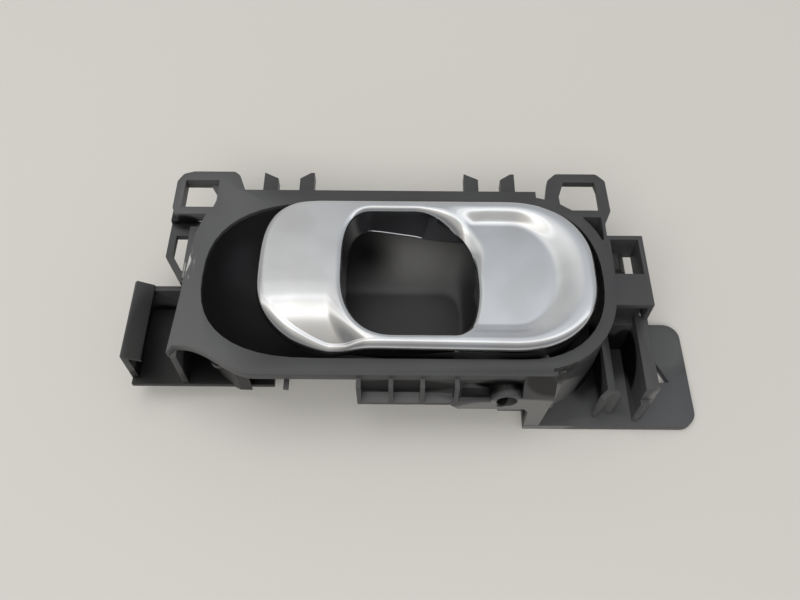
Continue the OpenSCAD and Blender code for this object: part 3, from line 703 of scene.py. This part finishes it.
@dataclass
class LeverCover:
    """The plated lever: a ring with a window, a rolled grip panel and a thumb dish.

    Heights and places are from the datum. A run is a radius along X, and an n is how square its
    corner is.
    """

    datum: Datum
    x0: float = -43.0
    x1: float = 56.6
    b: float = 26.0
    split_y: float = 1.5
    dish_run: float = 26.0
    dish_n: float = 2.3
    upper_run: float = 20.0
    upper_n: float = 3.1
    lower_run: float = 22.0
    lower_n: float = 2.2
    low_pull: float = 1.6
    crest: float = 5.0
    crown: float = 0.7
    tip_drop: float = 0.8
    dish_d: float = 2.6
    roll_y: float = -4.2
    roll_bend: float = 0.0145
    edge_r: float = 2.4
    edge_more: float = 1.4
    window_edge_r: float = 1.6
    saddle_r: float = 3.2
    shade_top: float = -2.4
    shade_top_rise: float = 3.4
    draft: float = 1.7
    grip_back: float = -4.5
    hinge_back: float = -12.0
    window_x0: float = -18.0
    window_x1: float = 22.0
    window_b: float = 21.5
    window_wall: float = 0.9
    window_run: float = 16.0
    window_n: float = 2.4
    ledge: float = 0.22
    back_lip: float = 0.55
    hollow_b: float = 20.4
    around: int = 480

    def outline(self, d: float, k: int = 240) -> np.ndarray:
        """The outer outline.

        Args:
            d: How far it is drawn in.
            k: Steps of each quarter.

        Returns:
            Its points.
        """
        right, left = self.x1 - self.dish_run, self.x0 + self.upper_run
        low, h, reach_y = self.x0 + self.lower_run, self.split_y, self.b - d - self.split_y
        dish, upper, lower = (
            (run - d, reach_y) for run in (self.dish_run, self.upper_run, self.lower_run)
        )
        line = np.vstack(
            [
                corner((right, h), dish, self.dish_n, 0, 90, k),
                corner((left, h), upper, self.upper_n, 90, 180, k),
                corner((low, -h), lower, self.lower_n, 180, 270, k),
                corner((right, -h), dish, self.dish_n, 270, 360, k),
            ]
        )
        line[:, 1] += self.low_pull * ramp(-line[:, 0], 15, 15) * ramp(-line[:, 1], 6, 16)
        return line

    def window(self, d: float, k: int = 240) -> np.ndarray:
        """The window's outline, with its four unequal corners.

        Args:
            d: How far it is grown.
            k: Steps of each quarter.

        Returns:
            Its points.
        """
        x0, x1, b, run = self.window_x0, self.window_x1, self.window_b, self.window_run
        return np.vstack(
            [
                corner((x1 - 18.5, -4), (18.5 + d, b + 4 + d), 1.9, 0, 90, k),
                corner((x0 + 9, 3.5), (9 + d, b - 3.5 + d), 2.6, 90, 180, k),
                corner((x0 + run, 0), (run + d, b + d), self.window_n, 180, 270, k),
                corner((x1 - 7, -4), (7 + d, b - 4 + d), 2.1, 270, 360, k),
            ]
        )

    def facing(self, points: np.ndarray, d: float) -> np.ndarray:
        """The points of the window's outline that face other points, seen from its middle.

        Args:
            points: The other points.
            d: How far the outline is grown.

        Returns:
            As many points.
        """
        middle = np.array([(self.window_x0 + self.window_x1) / 2, 0])
        line = self.window(d)
        line = at_places(line, evenly(line, 4000)) - middle
        angle = np.arctan2(line[:, 1], line[:, 0])
        order = np.argsort(angle)
        want = np.arctan2(*(points - middle).T[::-1])
        far = np.linalg.norm(line[order], axis=1)
        reach = np.interp(want, angle[order], far, period=2 * np.pi)
        return middle + np.stack([np.cos(want), np.sin(want)], 1) * reach[:, None]

    def edge_in(self, p: np.ndarray) -> np.ndarray:
        """How far points lie inside the outer outline.

        Args:
            p: The points.

        Returns:
            The distances, nearly.
        """
        x, y = p[:, 0], p[:, 1]
        dish, low = self.dish_run, self.lower_run
        right = x > self.x1 - dish
        n = np.where(right, self.dish_n, np.where(y > 0, self.upper_n, self.lower_n))
        to_left = np.maximum(self.x0 + low - x, 0) / low
        dx = np.where(right, (x - self.x1 + dish) / dish, to_left)
        reach = np.maximum(dx, 0) ** n + (np.abs(y) / self.b) ** n
        return self.b * (1 - reach ** (1 / n))

    def window_off(self, p: np.ndarray) -> np.ndarray:
        """How far points on the grip's side lie from the window.

        Args:
            p: The points.

        Returns:
            The distances, nearly.
        """
        x, y = p[:, 0], p[:, 1]
        run, n = self.window_run, self.window_n
        dx = np.maximum(self.window_x0 + run - x, 0) / run
        low = dx**n + (np.abs(y) / self.window_b) ** n
        return np.where(y > 0, self.window_x0 - x, run * (low ** (1 / n) - 1))

    def front(self, p: np.ndarray) -> np.ndarray:
        """Height of the front: a crowned face with the dish sunk in and the grip rolled down.

        Args:
            p: The points.

        Returns:
            Their heights.
        """
        x, y = p[:, 0], p[:, 1]
        upper = ramp(y, 4, 9)
        wall = 6.0 + 4.5 * ramp(x, 34, 16)
        dish = ramp(x, 8 + 4 * upper, 14 - 4 * upper)
        dish *= smooth((self.edge_in(p) - self.edge_r - 0.4) / wall)
        roll = ramp(-x, 4, 18) * ramp(self.window_off(p), 1.0, 4.5)
        fall = self.roll_bend * np.maximum(self.roll_y - y, 0) ** 2
        tip = self.tip_drop * ramp(-x, 30, 13)
        return self.crest - self.dish_d * dish - fall * roll - tip - self.crown * (y / self.b) ** 2

    def back(self, x: np.ndarray) -> np.ndarray:
        """Height of the back edge at X."""
        return self.grip_back + (self.hinge_back - self.grip_back) * ramp(x, -24, 50)

    def painted_shade_top(self, x: np.ndarray) -> np.ndarray:
        """Height on the outside below which the wall gets black resin as painted shade, at X."""
        return self.shade_top + self.shade_top_rise * ramp(x, 0, 16)

    def outer_wall(self, line: np.ndarray, inward: np.ndarray, top: np.ndarray) -> list[np.ndarray]:
        """Rings of the outer wall, with one where the painted shade ends.

        Args:
            line: The outer outline.
            inward: Its unit steps inward.
            top: Height at which the wall ends.

        Returns:
            The rings, upward.
        """
        foot = line + inward * self.draft
        low = self.back(foot[:, 0])
        shade_top = np.minimum(self.painted_shade_top(line[:, 0]), top - 0.1)
        rows = []
        for lower, upper in ((low, shade_top), (shade_top, top)):
            for s in np.linspace(0, 1, 4, endpoint=False):
                height = lower + (upper - lower) * s
                share = (height - low) / (top - low)
                rows.append(lifted(foot + (line - foot) * share[:, None], height))
        return rows

    def window_wall_rings(
        self, line: np.ndarray, wall: np.ndarray, low: np.ndarray
    ) -> list[np.ndarray]:
        """Rings of the window's wall, with a ledge at its upper inner edge.

        Args:
            line: The window's outline.
            wall: The outline behind it, where the wall ends.
            low: Height at which the wall starts.

        Returns:
            The rings, downward.
        """
        lit = ramp(line[:, 0], -14, 8) * ramp(line[:, 1], 6, 6)
        ledge = wall + (line - wall) * self.ledge * lit[:, None]
        end = self.back(wall[:, 0])
        rows = []
        for s in np.linspace(0, 1, 6)[1:]:
            rows.append(lifted(line + (ledge - line) * s, low * (1 - s) + (end + 0.6) * s))
        return rows + [lifted(wall, end + self.back_lip), lifted(wall, end)]

    def rings(self) -> np.ndarray:
        """The skin's rings, from the outer back edge over the front to the window's back edge.

        Returns:
            Rings, points and coordinates.
        """
        dense, deep = self.outline(0), 6
        places = evenly(dense, self.around)
        line = at_places(dense, places)
        inward = (at_places(self.outline(deep), places) - line) / deep
        left_low = ramp(-line[:, 0], 14, 18) * ramp(-line[:, 1], -2, 22)
        radius = self.edge_r + self.edge_more * left_low
        crest = line + inward * radius[:, None]
        window, wide, wall = (self.facing(line, d) for d in (0.0, 1.0, -self.window_wall))
        saddle = ramp(window[:, 0], 6, 9) * ramp(window[:, 1], -2, 10)
        soft = eased(self.window_edge_r + self.saddle_r * saddle, 10)
        brink = window + (wide - window) * soft[:, None]
        top, raw = self.front(crest), self.front(brink)
        inner = raw + (eased(raw, 12) - raw) * saddle
        rows = self.outer_wall(line, inward, top - radius)
        for a in np.radians(np.linspace(0, 90, 15)):
            in_by, down = radius * (1 - math.cos(a)), radius * (1 - math.sin(a))
            rows.append(lifted(line + inward * in_by[:, None], top - down))
        for s in np.linspace(0, 1, 37)[1:]:
            p = crest + (brink - crest) * s
            rows.append(lifted(p, self.front(p) + (inner - raw) * s))
        for a in np.radians(np.linspace(0, 90, 11))[1:]:
            p = brink + (window - brink) * math.sin(a)
            rows.append(lifted(p, inner - soft * (1 - math.cos(a))))
        return np.array(rows + self.window_wall_rings(window, wall, inner - soft))

    def paint_low_wall_shade(self, made: Piece) -> None:
        """Gives the low outer wall black resin, which paints shade below the lever's edge.

        Args:
            made: The lever.
        """
        made.data.materials.append(Finish.RESIN.material())
        for face in made.data.polygons:
            x, y, z = face.center / MM
            point = np.array([[x - self.datum.x, y - self.datum.y]])
            low = z - self.datum.z < self.painted_shade_top(point[0, :1])[0] - 0.02
            outside = abs(face.normal.z) < 0.6 and self.edge_in(point)[0] < 4
            # Painted shade: low outside faces get black resin in place of plating.
            face.material_index = int(low and outside)

    def build(self) -> Piece:
        """Builds the lever and hands over from the CAD node.

        Returns:
            The lever.
        """
        rows = self.rings()
        count, n, _ = rows.shape
        verts = self.datum.put(rows.reshape(-1, 3))
        made = new_piece("lever_skin", verts, ring_faces(count, n, True), Finish.CHROME)
        for tool in self.hollows():
            combine(made, tool)
        weld(made, 0.01)
        self.paint_low_wall_shade(made)
        shade(made, 38)
        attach(made, "lever")
        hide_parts("lever_cover")
        return made

    def hollows(self) -> list[Piece]:
        """The solids that are cut from the lever's back.

        Returns:
            Three solids, each from its left end to its right end, with its corner radius and top.
        """
        under_dish = self.crest - self.dish_d
        sizes = [
            (26.0, self.x1 - 3.2, 16.0, under_dish - 2.4),
            (10.0, 34.0, 8.0, under_dish - 1.9),
            (2.0, 10.5, 0.5, self.crest - 2.6),
        ]
        tools = []
        for i, (x0, x1, r, top) in enumerate(sizes):
            half = self.hollow_b
            round_end = [
                corner((x1 - r, half - r), (r, r), 2, 0, 90, 24),
                np.array([[x0, half], [x0, -half]]),
                corner((x1 - r, r - half), (r, r), 2, 270, 360, 24),
            ]
            outline = self.datum.put_flat(np.vstack(round_end))
            tools.append(prism(f"hollow_{i}", outline, self.datum.z - 20, self.datum.z + top))
        return tools


@dataclass
class FingerBowl:
    """The black bowl behind the opening, with its rim and the three lugs of its screws.

    Heights and places are from the datum.
    """

    datum: Datum
    x0: float = -59.5
    x1: float = 27.0
    b: float = 27.4
    run: float = 27.0
    left_run: float = 35.0
    left_n: float = 2.5
    right_run: float = 11.0
    right_n: float = 3.4
    lean: float = 3.0
    inset_b: float = 14.0
    inset_x1: float = 7.0
    wall: float = 2.0
    depth: float = 26.3
    top: float = -1.7
    rim_w: float = 2.2
    rim_x1: float = 15.0
    rim_under: float = -3.0
    lip: float = -13.5
    lug_top: float = -6.0
    lug_h: float = 1.6
    lug_r: float = 2.7
    lug_reach: float = 4.5
    seat_r: float = 2.25
    hole_r: float = 1.25
    screws: tuple[tuple[float, float], ...] = ((-54.0, 25.2), (-52.5, -24.4), (6.0, 30.7))

    def ring(self, d: float, a: float) -> np.ndarray:
        """The bowl's outline at an angle of its curved side.

        Args:
            d: How far it is grown.
            a: 0 at the top and a quarter turn at the bottom, in radians.

        Returns:
            The points.
        """
        inset, lean = 1 - math.cos(a), self.lean * math.sin(a)
        x0, x1 = self.x0 + self.run * inset, self.x1 - self.inset_x1 * inset - lean / 2
        b, left = self.b - self.inset_b * inset - lean, self.left_run - self.inset_b * inset
        right = self.right_run
        return np.vstack(
            [
                corner((x1 - right, 0), (right + d, b + d), self.right_n, -90, 90, 90),
                corner((x0 + left, 0), (left + d, b + d), self.left_n, 90, 270, 120),
            ]
        )

    def cup(self, name: str, d: float, depth: float, above: float) -> Piece:
        """A solid with the bowl's form.

        Args:
            name: Its name.
            d: How far it is grown sideways.
            depth: How deep it is.
            above: How far it stands above the rim.

        Returns:
            The solid.
        """
        rows = []
        for a in np.radians(np.linspace(90, 0, 45)):
            p = self.ring(d, a)
            rows.append(lifted(p, np.full(len(p), self.top - depth * math.sin(a))))
        if above:
            rows.append(rows[-1] + np.array([0, 0, above]))
        verts = self.datum.put(np.vstack(rows))
        return new_piece(name, verts, solid_faces(len(rows), len(rows[0])), Finish.BOWL)

    def block(self, line: np.ndarray, z0: float, z1: float) -> Piece:
        """A straight solid over an outline, placed from the datum."""
        return prism("block", self.datum.put_flat(line), self.datum.z + z0, self.datum.z + z1)

    def disc(self, at: Sequence[float], r: float, z0: float, z1: float) -> Piece:
        """An upright round solid at a point."""
        return self.block(corner(at, (r, r), 2, 0, 360, 40)[:-1], z0, z1)

    def lugs(self, made: Piece) -> None:
        """Adds the lugs that the screws go through.

        Args:
            made: The bowl.
        """
        under = self.lug_top - self.lug_h
        for x, y in self.screws:
            inner = y - math.copysign(self.lug_reach, y)
            right = self.lug_r + (4.0 if x < 0 else 0.0)
            bar = rectangle(x - self.lug_r, x + right, min(y, inner), max(y, inner))
            combine(made, self.block(bar, under, self.lug_top), "UNION")
            combine(made, self.disc((x, y), self.lug_r, under, self.lug_top), "UNION")

    def build(self) -> Piece:
        """Builds the bowl with smooth curves and hands over from the CAD node.

        Returns:
            The bowl.
        """
        made = self.cup("bowl_skin", self.wall, self.depth + self.wall, 0)
        half = self.b + self.rim_w
        middle, reach = (self.x0 + self.left_run, 0), (self.left_run + self.rim_w, half)
        rim = np.vstack(
            [
                corner(middle, reach, self.left_n, 90, 270, 120),
                [(self.rim_x1, -half), (self.rim_x1, half)],
            ]
        )
        combine(made, self.block(rim, self.rim_under, self.top), "UNION")
        self.lugs(made)
        combine(made, self.cup("inside", 0, self.depth, 1.0))
        combine(made, self.block(rectangle(self.rim_x1, 120, -60, 60), self.lip, 10))
        for at in self.screws:
            combine(made, self.disc(at, self.seat_r, self.lug_top, 2.0))
            combine(made, self.disc(at, self.hole_r, -20.0, self.lug_top + 1))
        refinish(made, Finish.BOWL)
        shade(made, 32)
        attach(made, "housing")
        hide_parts("finger_bowl")
        return made


@dataclass
class Carrier:
    """The grey moulding, with its edges rounded and a web under its upper left ear."""

    round_mm: float = 0.28
    sharp: float = 35.0
    web: tuple[float, float, float, float] = (-75.4, -69.0, 19.7, 20.9)
    web_z: tuple[float, float] = (24.2, 26.2)

    def build(self) -> Piece:
        """Rounds the edges of a copy of the CAD carrier and hands over from its node.

        Returns:
            The carrier.
        """
        made = linked("carrier_skin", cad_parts["carrier"].data.copy())
        refinish(made, Finish.CARRIER)
        weld(made, 0.002)
        combine(made, prism("web", rectangle(*self.web), *self.web_z), "UNION")
        flat = made.modifiers.new("flat", "DECIMATE")
        flat.decimate_type, flat.angle_limit = "DISSOLVE", math.radians(0.4)
        apply_modifiers(made)
        # The rounded edges get the painted edge highlight.
        made.data.materials.append(Finish.WORN_EDGE.material())
        step = made.modifiers.new("round", "BEVEL")
        step.width, step.segments = self.round_mm * MM, 2
        step.limit_method, step.angle_limit = "ANGLE", math.radians(self.sharp)
        step.use_clamp_overlap = True
        step.material = 1
        apply_modifiers(made)
        shade(made, 40)
        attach(made, "housing")
        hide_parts("carrier")
        return made


@dataclass
class SmallParts:
    """The CAD nodes that keep their own shape, of steel where nothing else is named."""

    resin: tuple[str, ...] = ("grip_back", "hinge_bracket", "bush_upper", "bush_lower")
    rubber: tuple[str, ...] = ("closed_stop_upper", "closed_stop_lower", "open_stop")

    def dress(self) -> None:
        """Gives every CAD node its finish."""
        finishes = {name: Finish.RESIN for name in self.resin}
        finishes.update({name: Finish.RUBBER for name in self.rubber})
        for name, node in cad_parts.items():
            finish = finishes.get(name, Finish.STEEL)
            node.data.materials.clear()
            node.data.materials.append(finish.material())
            LOG.info("finish of %s: %s", name, finish.name)


def tube(
    name: str, line: np.ndarray, r: float, finish: Finish, sides: int = 14
) -> Piece:
    """A round wire along a line.

    Args:
        name: Its name.
        line: The wire's middle in millimetres in the part's frame.
        r: The wire's radius.
        finish: Its finish.
        sides: Points of each ring.

    Returns:
        The wire.
    """
    along = np.gradient(line, axis=0)
    along /= np.linalg.norm(along, axis=1)[:, None]
    across = np.cross(along[0], (0.0, 1.0, 0.3))
    turn = np.linspace(0, 2 * np.pi, sides, endpoint=False)[:, None]
    rings = []
    for point, ahead in zip(line, along):
        across = across - ahead * (across @ ahead)
        across /= np.linalg.norm(across)
        aside = np.cross(ahead, across)
        rings.append(point + r * (np.cos(turn) * across + np.sin(turn) * aside))
    made = new_piece(name, np.vstack(rings), solid_faces(len(rings), sides), finish)
    shade(made, 50)
    return made


@dataclass
class ReturnSpring:
    """The torsion spring around the hinge pin: its coil with the fixed leg, and the moving leg.

    Places are from the datum.
    """

    datum: Datum
    x: float = 41.0
    z: float = -6.0
    coil_r: float = 2.7
    wire_r: float = 0.45
    turns: int = 4
    pitch: float = 1.02
    y0: float = -3.94
    fixed_x: float = 30.2
    free_x: float = 47.0
    sag: float = 0.35

    def coil(self) -> np.ndarray:
        """The coil's line, which starts and ends at its lowest point."""
        a = np.linspace(0, 2 * np.pi * self.turns, 48 * self.turns + 1)
        x, z = self.x + self.coil_r * np.sin(a), self.z - self.coil_r * np.cos(a)
        return np.column_stack([x, self.y0 + self.pitch * a / (2 * np.pi), z])

    def fixed_leg(self, points: int = 12) -> np.ndarray:
        """The straight leg that leads to the coil's start."""
        x = np.linspace(self.fixed_x, self.x, points, endpoint=False)
        low = np.full(points, self.z - self.coil_r)
        return np.column_stack([x, np.full(points, self.y0), low])

    def moving_leg(self, start: np.ndarray) -> np.ndarray:
        """The line of the leg that the lever turns.

        Args:
            start: The coil's end.

        Returns:
            A slightly sagging line up to the hinge bracket.
        """
        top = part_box("return_spring")[1][2] / MM - self.datum.z - self.wire_r
        share = np.linspace(0, 1, 16)[:, None]
        line = start + (np.array([self.free_x, start[1], top]) - start) * share
        line[:, 2] -= self.sag * np.sin(np.pi * share[:, 0])
        return line

    def build(self) -> list[Piece]:
        """Builds both pieces and hands over from the CAD node.

        Returns:
            The coil and the leg, each on its own body.
        """
        coil = self.coil()
        wound = self.datum.put(np.vstack([self.fixed_leg(), coil]))
        coiled = tube("spring_coil", wound, self.wire_r, Finish.BLACK_STEEL)
        bent = self.datum.put(self.moving_leg(coil[-1]))
        leg = tube("spring_leg", bent, self.wire_r, Finish.BLACK_STEEL)
        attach(coiled, "housing")
        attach(leg, "lever")
        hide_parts("return_spring")
        return [coiled, leg]


@dataclass
class Screw:
    """A thread-forming screw with a pan head and a cross recess, its head down."""

    node: str
    body: str
    finish: Finish
    head_h: float = 1.5
    dome_h: float = 0.6
    rim_z: float = 0.85
    thread_r: float = 0.93
    core: float = 0.74
    pitch: float = 0.75
    tip_h: float = 1.2
    row_h: float = 0.07
    recess: tuple[float, float] = (1.25, 0.27)
    recess_d: float = 0.95
    sides: int = 26

    def profile(self, z0: float, z1: float, head_r: float) -> list[Triple]:
        """The screw's outline.

        Args:
            z0: Height of the head's top, which is its lowest point.
            z1: Height of the tip.
            head_r: Radius of the head.

        Returns:
            Radius, height and thread depth of each ring.
        """
        rows = []
        for share in np.linspace(0.02, 1, 9):
            rows.append((head_r * 0.93 * share, z0 + self.dome_h * share**4, 0.0))
        rows += [(head_r, z0 + self.rim_z, 0.0), (head_r, z0 + self.head_h, 0.0)]
        tip = z1 - self.tip_h
        for z in np.arange(z0 + self.head_h + 0.01, z1, self.row_h):
            taper = 1 - 0.75 * max(0.0, (z - tip) / self.tip_h)
            rows.append((self.thread_r * taper, z, (self.thread_r - self.core) * taper))
        return rows

    def build(self) -> Piece:
        """Builds the screw in the place of its CAD node.

        Returns:
            The screw.
        """
        low, high = (np.array(end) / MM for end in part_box(self.node))
        x, y = (low[:2] + high[:2]) / 2
        turn = np.linspace(0, 1, self.sides, endpoint=False)
        rings = []
        for r, z, depth in self.profile(low[2], high[2], (high[0] - low[0]) / 2 - 0.01):
            wave = np.abs(2 * ((z / self.pitch - turn) % 1.0) - 1)
            radius, angle = r - depth * (1 - wave), 2 * np.pi * turn
            across, along = x + radius * np.cos(angle), y + radius * np.sin(angle)
            rings.append(np.column_stack([across, along, np.full(self.sides, z)]))
        faces = solid_faces(len(rings), self.sides)
        made = new_piece(self.node + "_threaded", np.vstack(rings), faces, self.finish)
        for half_x, half_y in (self.recess, self.recess[::-1]):
            line = rectangle(-half_x, half_x, -half_y, half_y) + (x, y)
            combine(made, prism("recess", line, low[2] - 0.5, low[2] + self.recess_d))
        refinish(made, self.finish)
        shade(made, 35)
        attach(made, self.body)
        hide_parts(self.node)
        return made


@dataclass(frozen=True)
class Lamp:
    """A soft rectangular lamp that points at the handle and that gloss doesn't show."""

    name: str
    at: Triple
    size: tuple[float, float]
    power: float
    colour: Triple

    def hang(self) -> None:
        """Adds the lamp to the scene."""
        data = bpy.data.lights.new(self.name, "AREA")
        data.shape, (data.size, data.size_y) = "RECTANGLE", self.size
        data.energy, data.color = self.power, self.colour
        made = linked(self.name, data)
        made.location = self.at
        made.rotation_euler = (-Vector(self.at)).to_track_quat("-Z", "Y").to_euler()
        made.visible_glossy = False


@dataclass
class Studio:
    """Camera, light and floor.

    The room is what gloss sees of the walls and windows around. Each row is an angle from the
    horizon behind the handle, over its top to the horizon in front, a brightness and a warmth.
    """

    eye_mm: Triple = (-4.8, -131.7, 226.1)
    elevation: float = 58.5
    roll: float = 0.45
    focal_px: float = 790.0
    width_px: float = 800.0
    sensor_mm: float = 36.0
    floor_half_mm: float = 3000.0
    lamps: tuple[Lamp, ...] = (
        Lamp("ceiling_lamp", (-0.15, 0.1, 1.2), (0.9, 0.6), 4.0, (1.0, 0.99, 0.97)),
        Lamp("front_lamp", (-0.25, -0.8, 0.9), (0.9, 0.5), 6.5, (1.0, 0.985, 0.96)),
    )
    room: tuple[Triple, ...] = (
        (0, 0.6, 0), (25, 0.6, 0), (45, 0.6, 0), (52, 0.66, 0), (58, 0.84, 0), (66, 0.98, 0),
        (76, 1.0, 0), (80, 1.9, 0), (83, 1.0, 0), (87, 1.5, 1), (98, 1.8, 1), (104, 0.75, 2),
        (112, 0.7, 2), (125, 0.55, 1), (150, 0.3, 0), (166, 0.35, 0), (180, 0.45, 0),
    )

    def camera(self) -> None:
        """Puts the camera where the photograph was taken from."""
        data = bpy.data.cameras.new("camera")
        data.sensor_fit, data.sensor_width = "HORIZONTAL", self.sensor_mm
        data.lens = self.focal_px / self.width_px * self.sensor_mm
        data.clip_start, data.clip_end = 0.01, 20.0
        made = linked("camera", data)
        e, turn = math.radians(self.elevation), math.radians(self.roll)
        ahead = Vector((0, math.cos(e), -math.sin(e)))
        right, up = Vector((1, 0, 0)), Vector((0, math.sin(e), math.cos(e)))
        x = right * math.cos(turn) + up * math.sin(turn)
        y = up * math.cos(turn) - right * math.sin(turn)
        turned = Matrix((x, y, -ahead)).transposed().to_4x4()
        made.matrix_world = Matrix.Translation(Vector(self.eye_mm) * MM) @ turned
        bpy.context.scene.camera = made

    def stops(self) -> list[tuple[float, tuple[float, ...]]]:
        """The room as a ramp's stops, at half brightness.

        Returns:
            The place and colour of each.
        """
        return [
            (angle / 180, (v / 2, v / 2 * (1 - 0.02 * warm), v / 2 * (1 - 0.05 * warm), 1.0))
            for angle, v, warm in self.room
        ]

    def mirrored(self, r: Recipe, direction: Sock) -> Sock:
        """The room that metal and gloss see.

        Args:
            r: The world's recipe.
            direction: The ray's direction.

        Returns:
            Its light.
        """
        x, y, z = (r.axis(direction, name) for name in "XYZ")
        turn = r.node("ShaderNodeMath", {"operation": "ARCTAN2"}, {0: z, 1: y}) / math.pi
        bands = r.node("ShaderNodeValToRGB", {"stops": self.stops()}, {"Fac": turn})
        tint = r.mixed(x.step(-0.16, 0.06), (1.0, 0.99, 0.965), (0.96, 0.98, 1.0))
        tinted = r.vector("MULTIPLY", bands, tint)
        level = (x.step(0.08, -0.16) * 0.3 + 1.86) * (x.step(-0.65, -0.25) * 0.25 + 0.75)
        return r.glow("ShaderNodeBackground", tinted, level)

    def light(self) -> None:
        """Lights the handle from above and in front, and sets the room around it."""
        for lamp in self.lamps:
            lamp.hang()
        world = bpy.data.worlds.new("room")
        bpy.context.scene.world = world
        world.use_nodes = True
        r = Recipe(world.node_tree)
        direction = r.node("ShaderNodeTexCoord", output="Generated")
        level = (1 - r.axis(direction, "Y").step(-0.6, 0.4)) * 0.1 + 0.4
        matt = r.glow("ShaderNodeBackground", (1.0, 0.99, 0.975), level)
        plain = r.glow("ShaderNodeBackground", (1.0, 1.0, 1.0), 1.0)
        mix = r.shaders(r.ray("Is Glossy Ray"), matt, self.mirrored(r, direction))
        mix = r.shaders(r.ray("Is Camera Ray"), mix, plain)
        r.node("ShaderNodeOutputWorld", inputs={"Surface": mix})

    def floor(self) -> None:
        """Lays the floor under the handle."""
        half = self.floor_half_mm
        verts = lifted(rectangle(-half, half, -half, half), np.zeros(4))
        made = new_piece("floor", verts, [[0, 1, 2, 3]], Finish.FLOOR)

    def build(self) -> None:
        """Sets everything up."""
        self.camera()
        self.light()
        self.floor()
        bpy.context.scene.view_settings.view_transform = "Standard"


def main() -> None:
    """Builds the scene."""
    logging.basicConfig(level=logging.INFO, format="%(message)s")
    datum = Datum()
    SmallParts().dress()
    screws = [Screw(f"bowl_screw_{i}", "housing", Finish.BLACK_STEEL) for i in (1, 2, 3)]
    screws += [Screw(f"lever_screw_{i}", "lever", Finish.STEEL) for i in (1, 2, 3)]
    makers = (Carrier(), FingerBowl(datum), LeverCover(datum), *screws)
    for made in ReturnSpring(datum).build() + [maker.build() for maker in makers]:
        LOG.info("%s: %d faces", made.name, len(made.data.polygons))
    Studio().build()


if __name__ == "__main__":
    main()
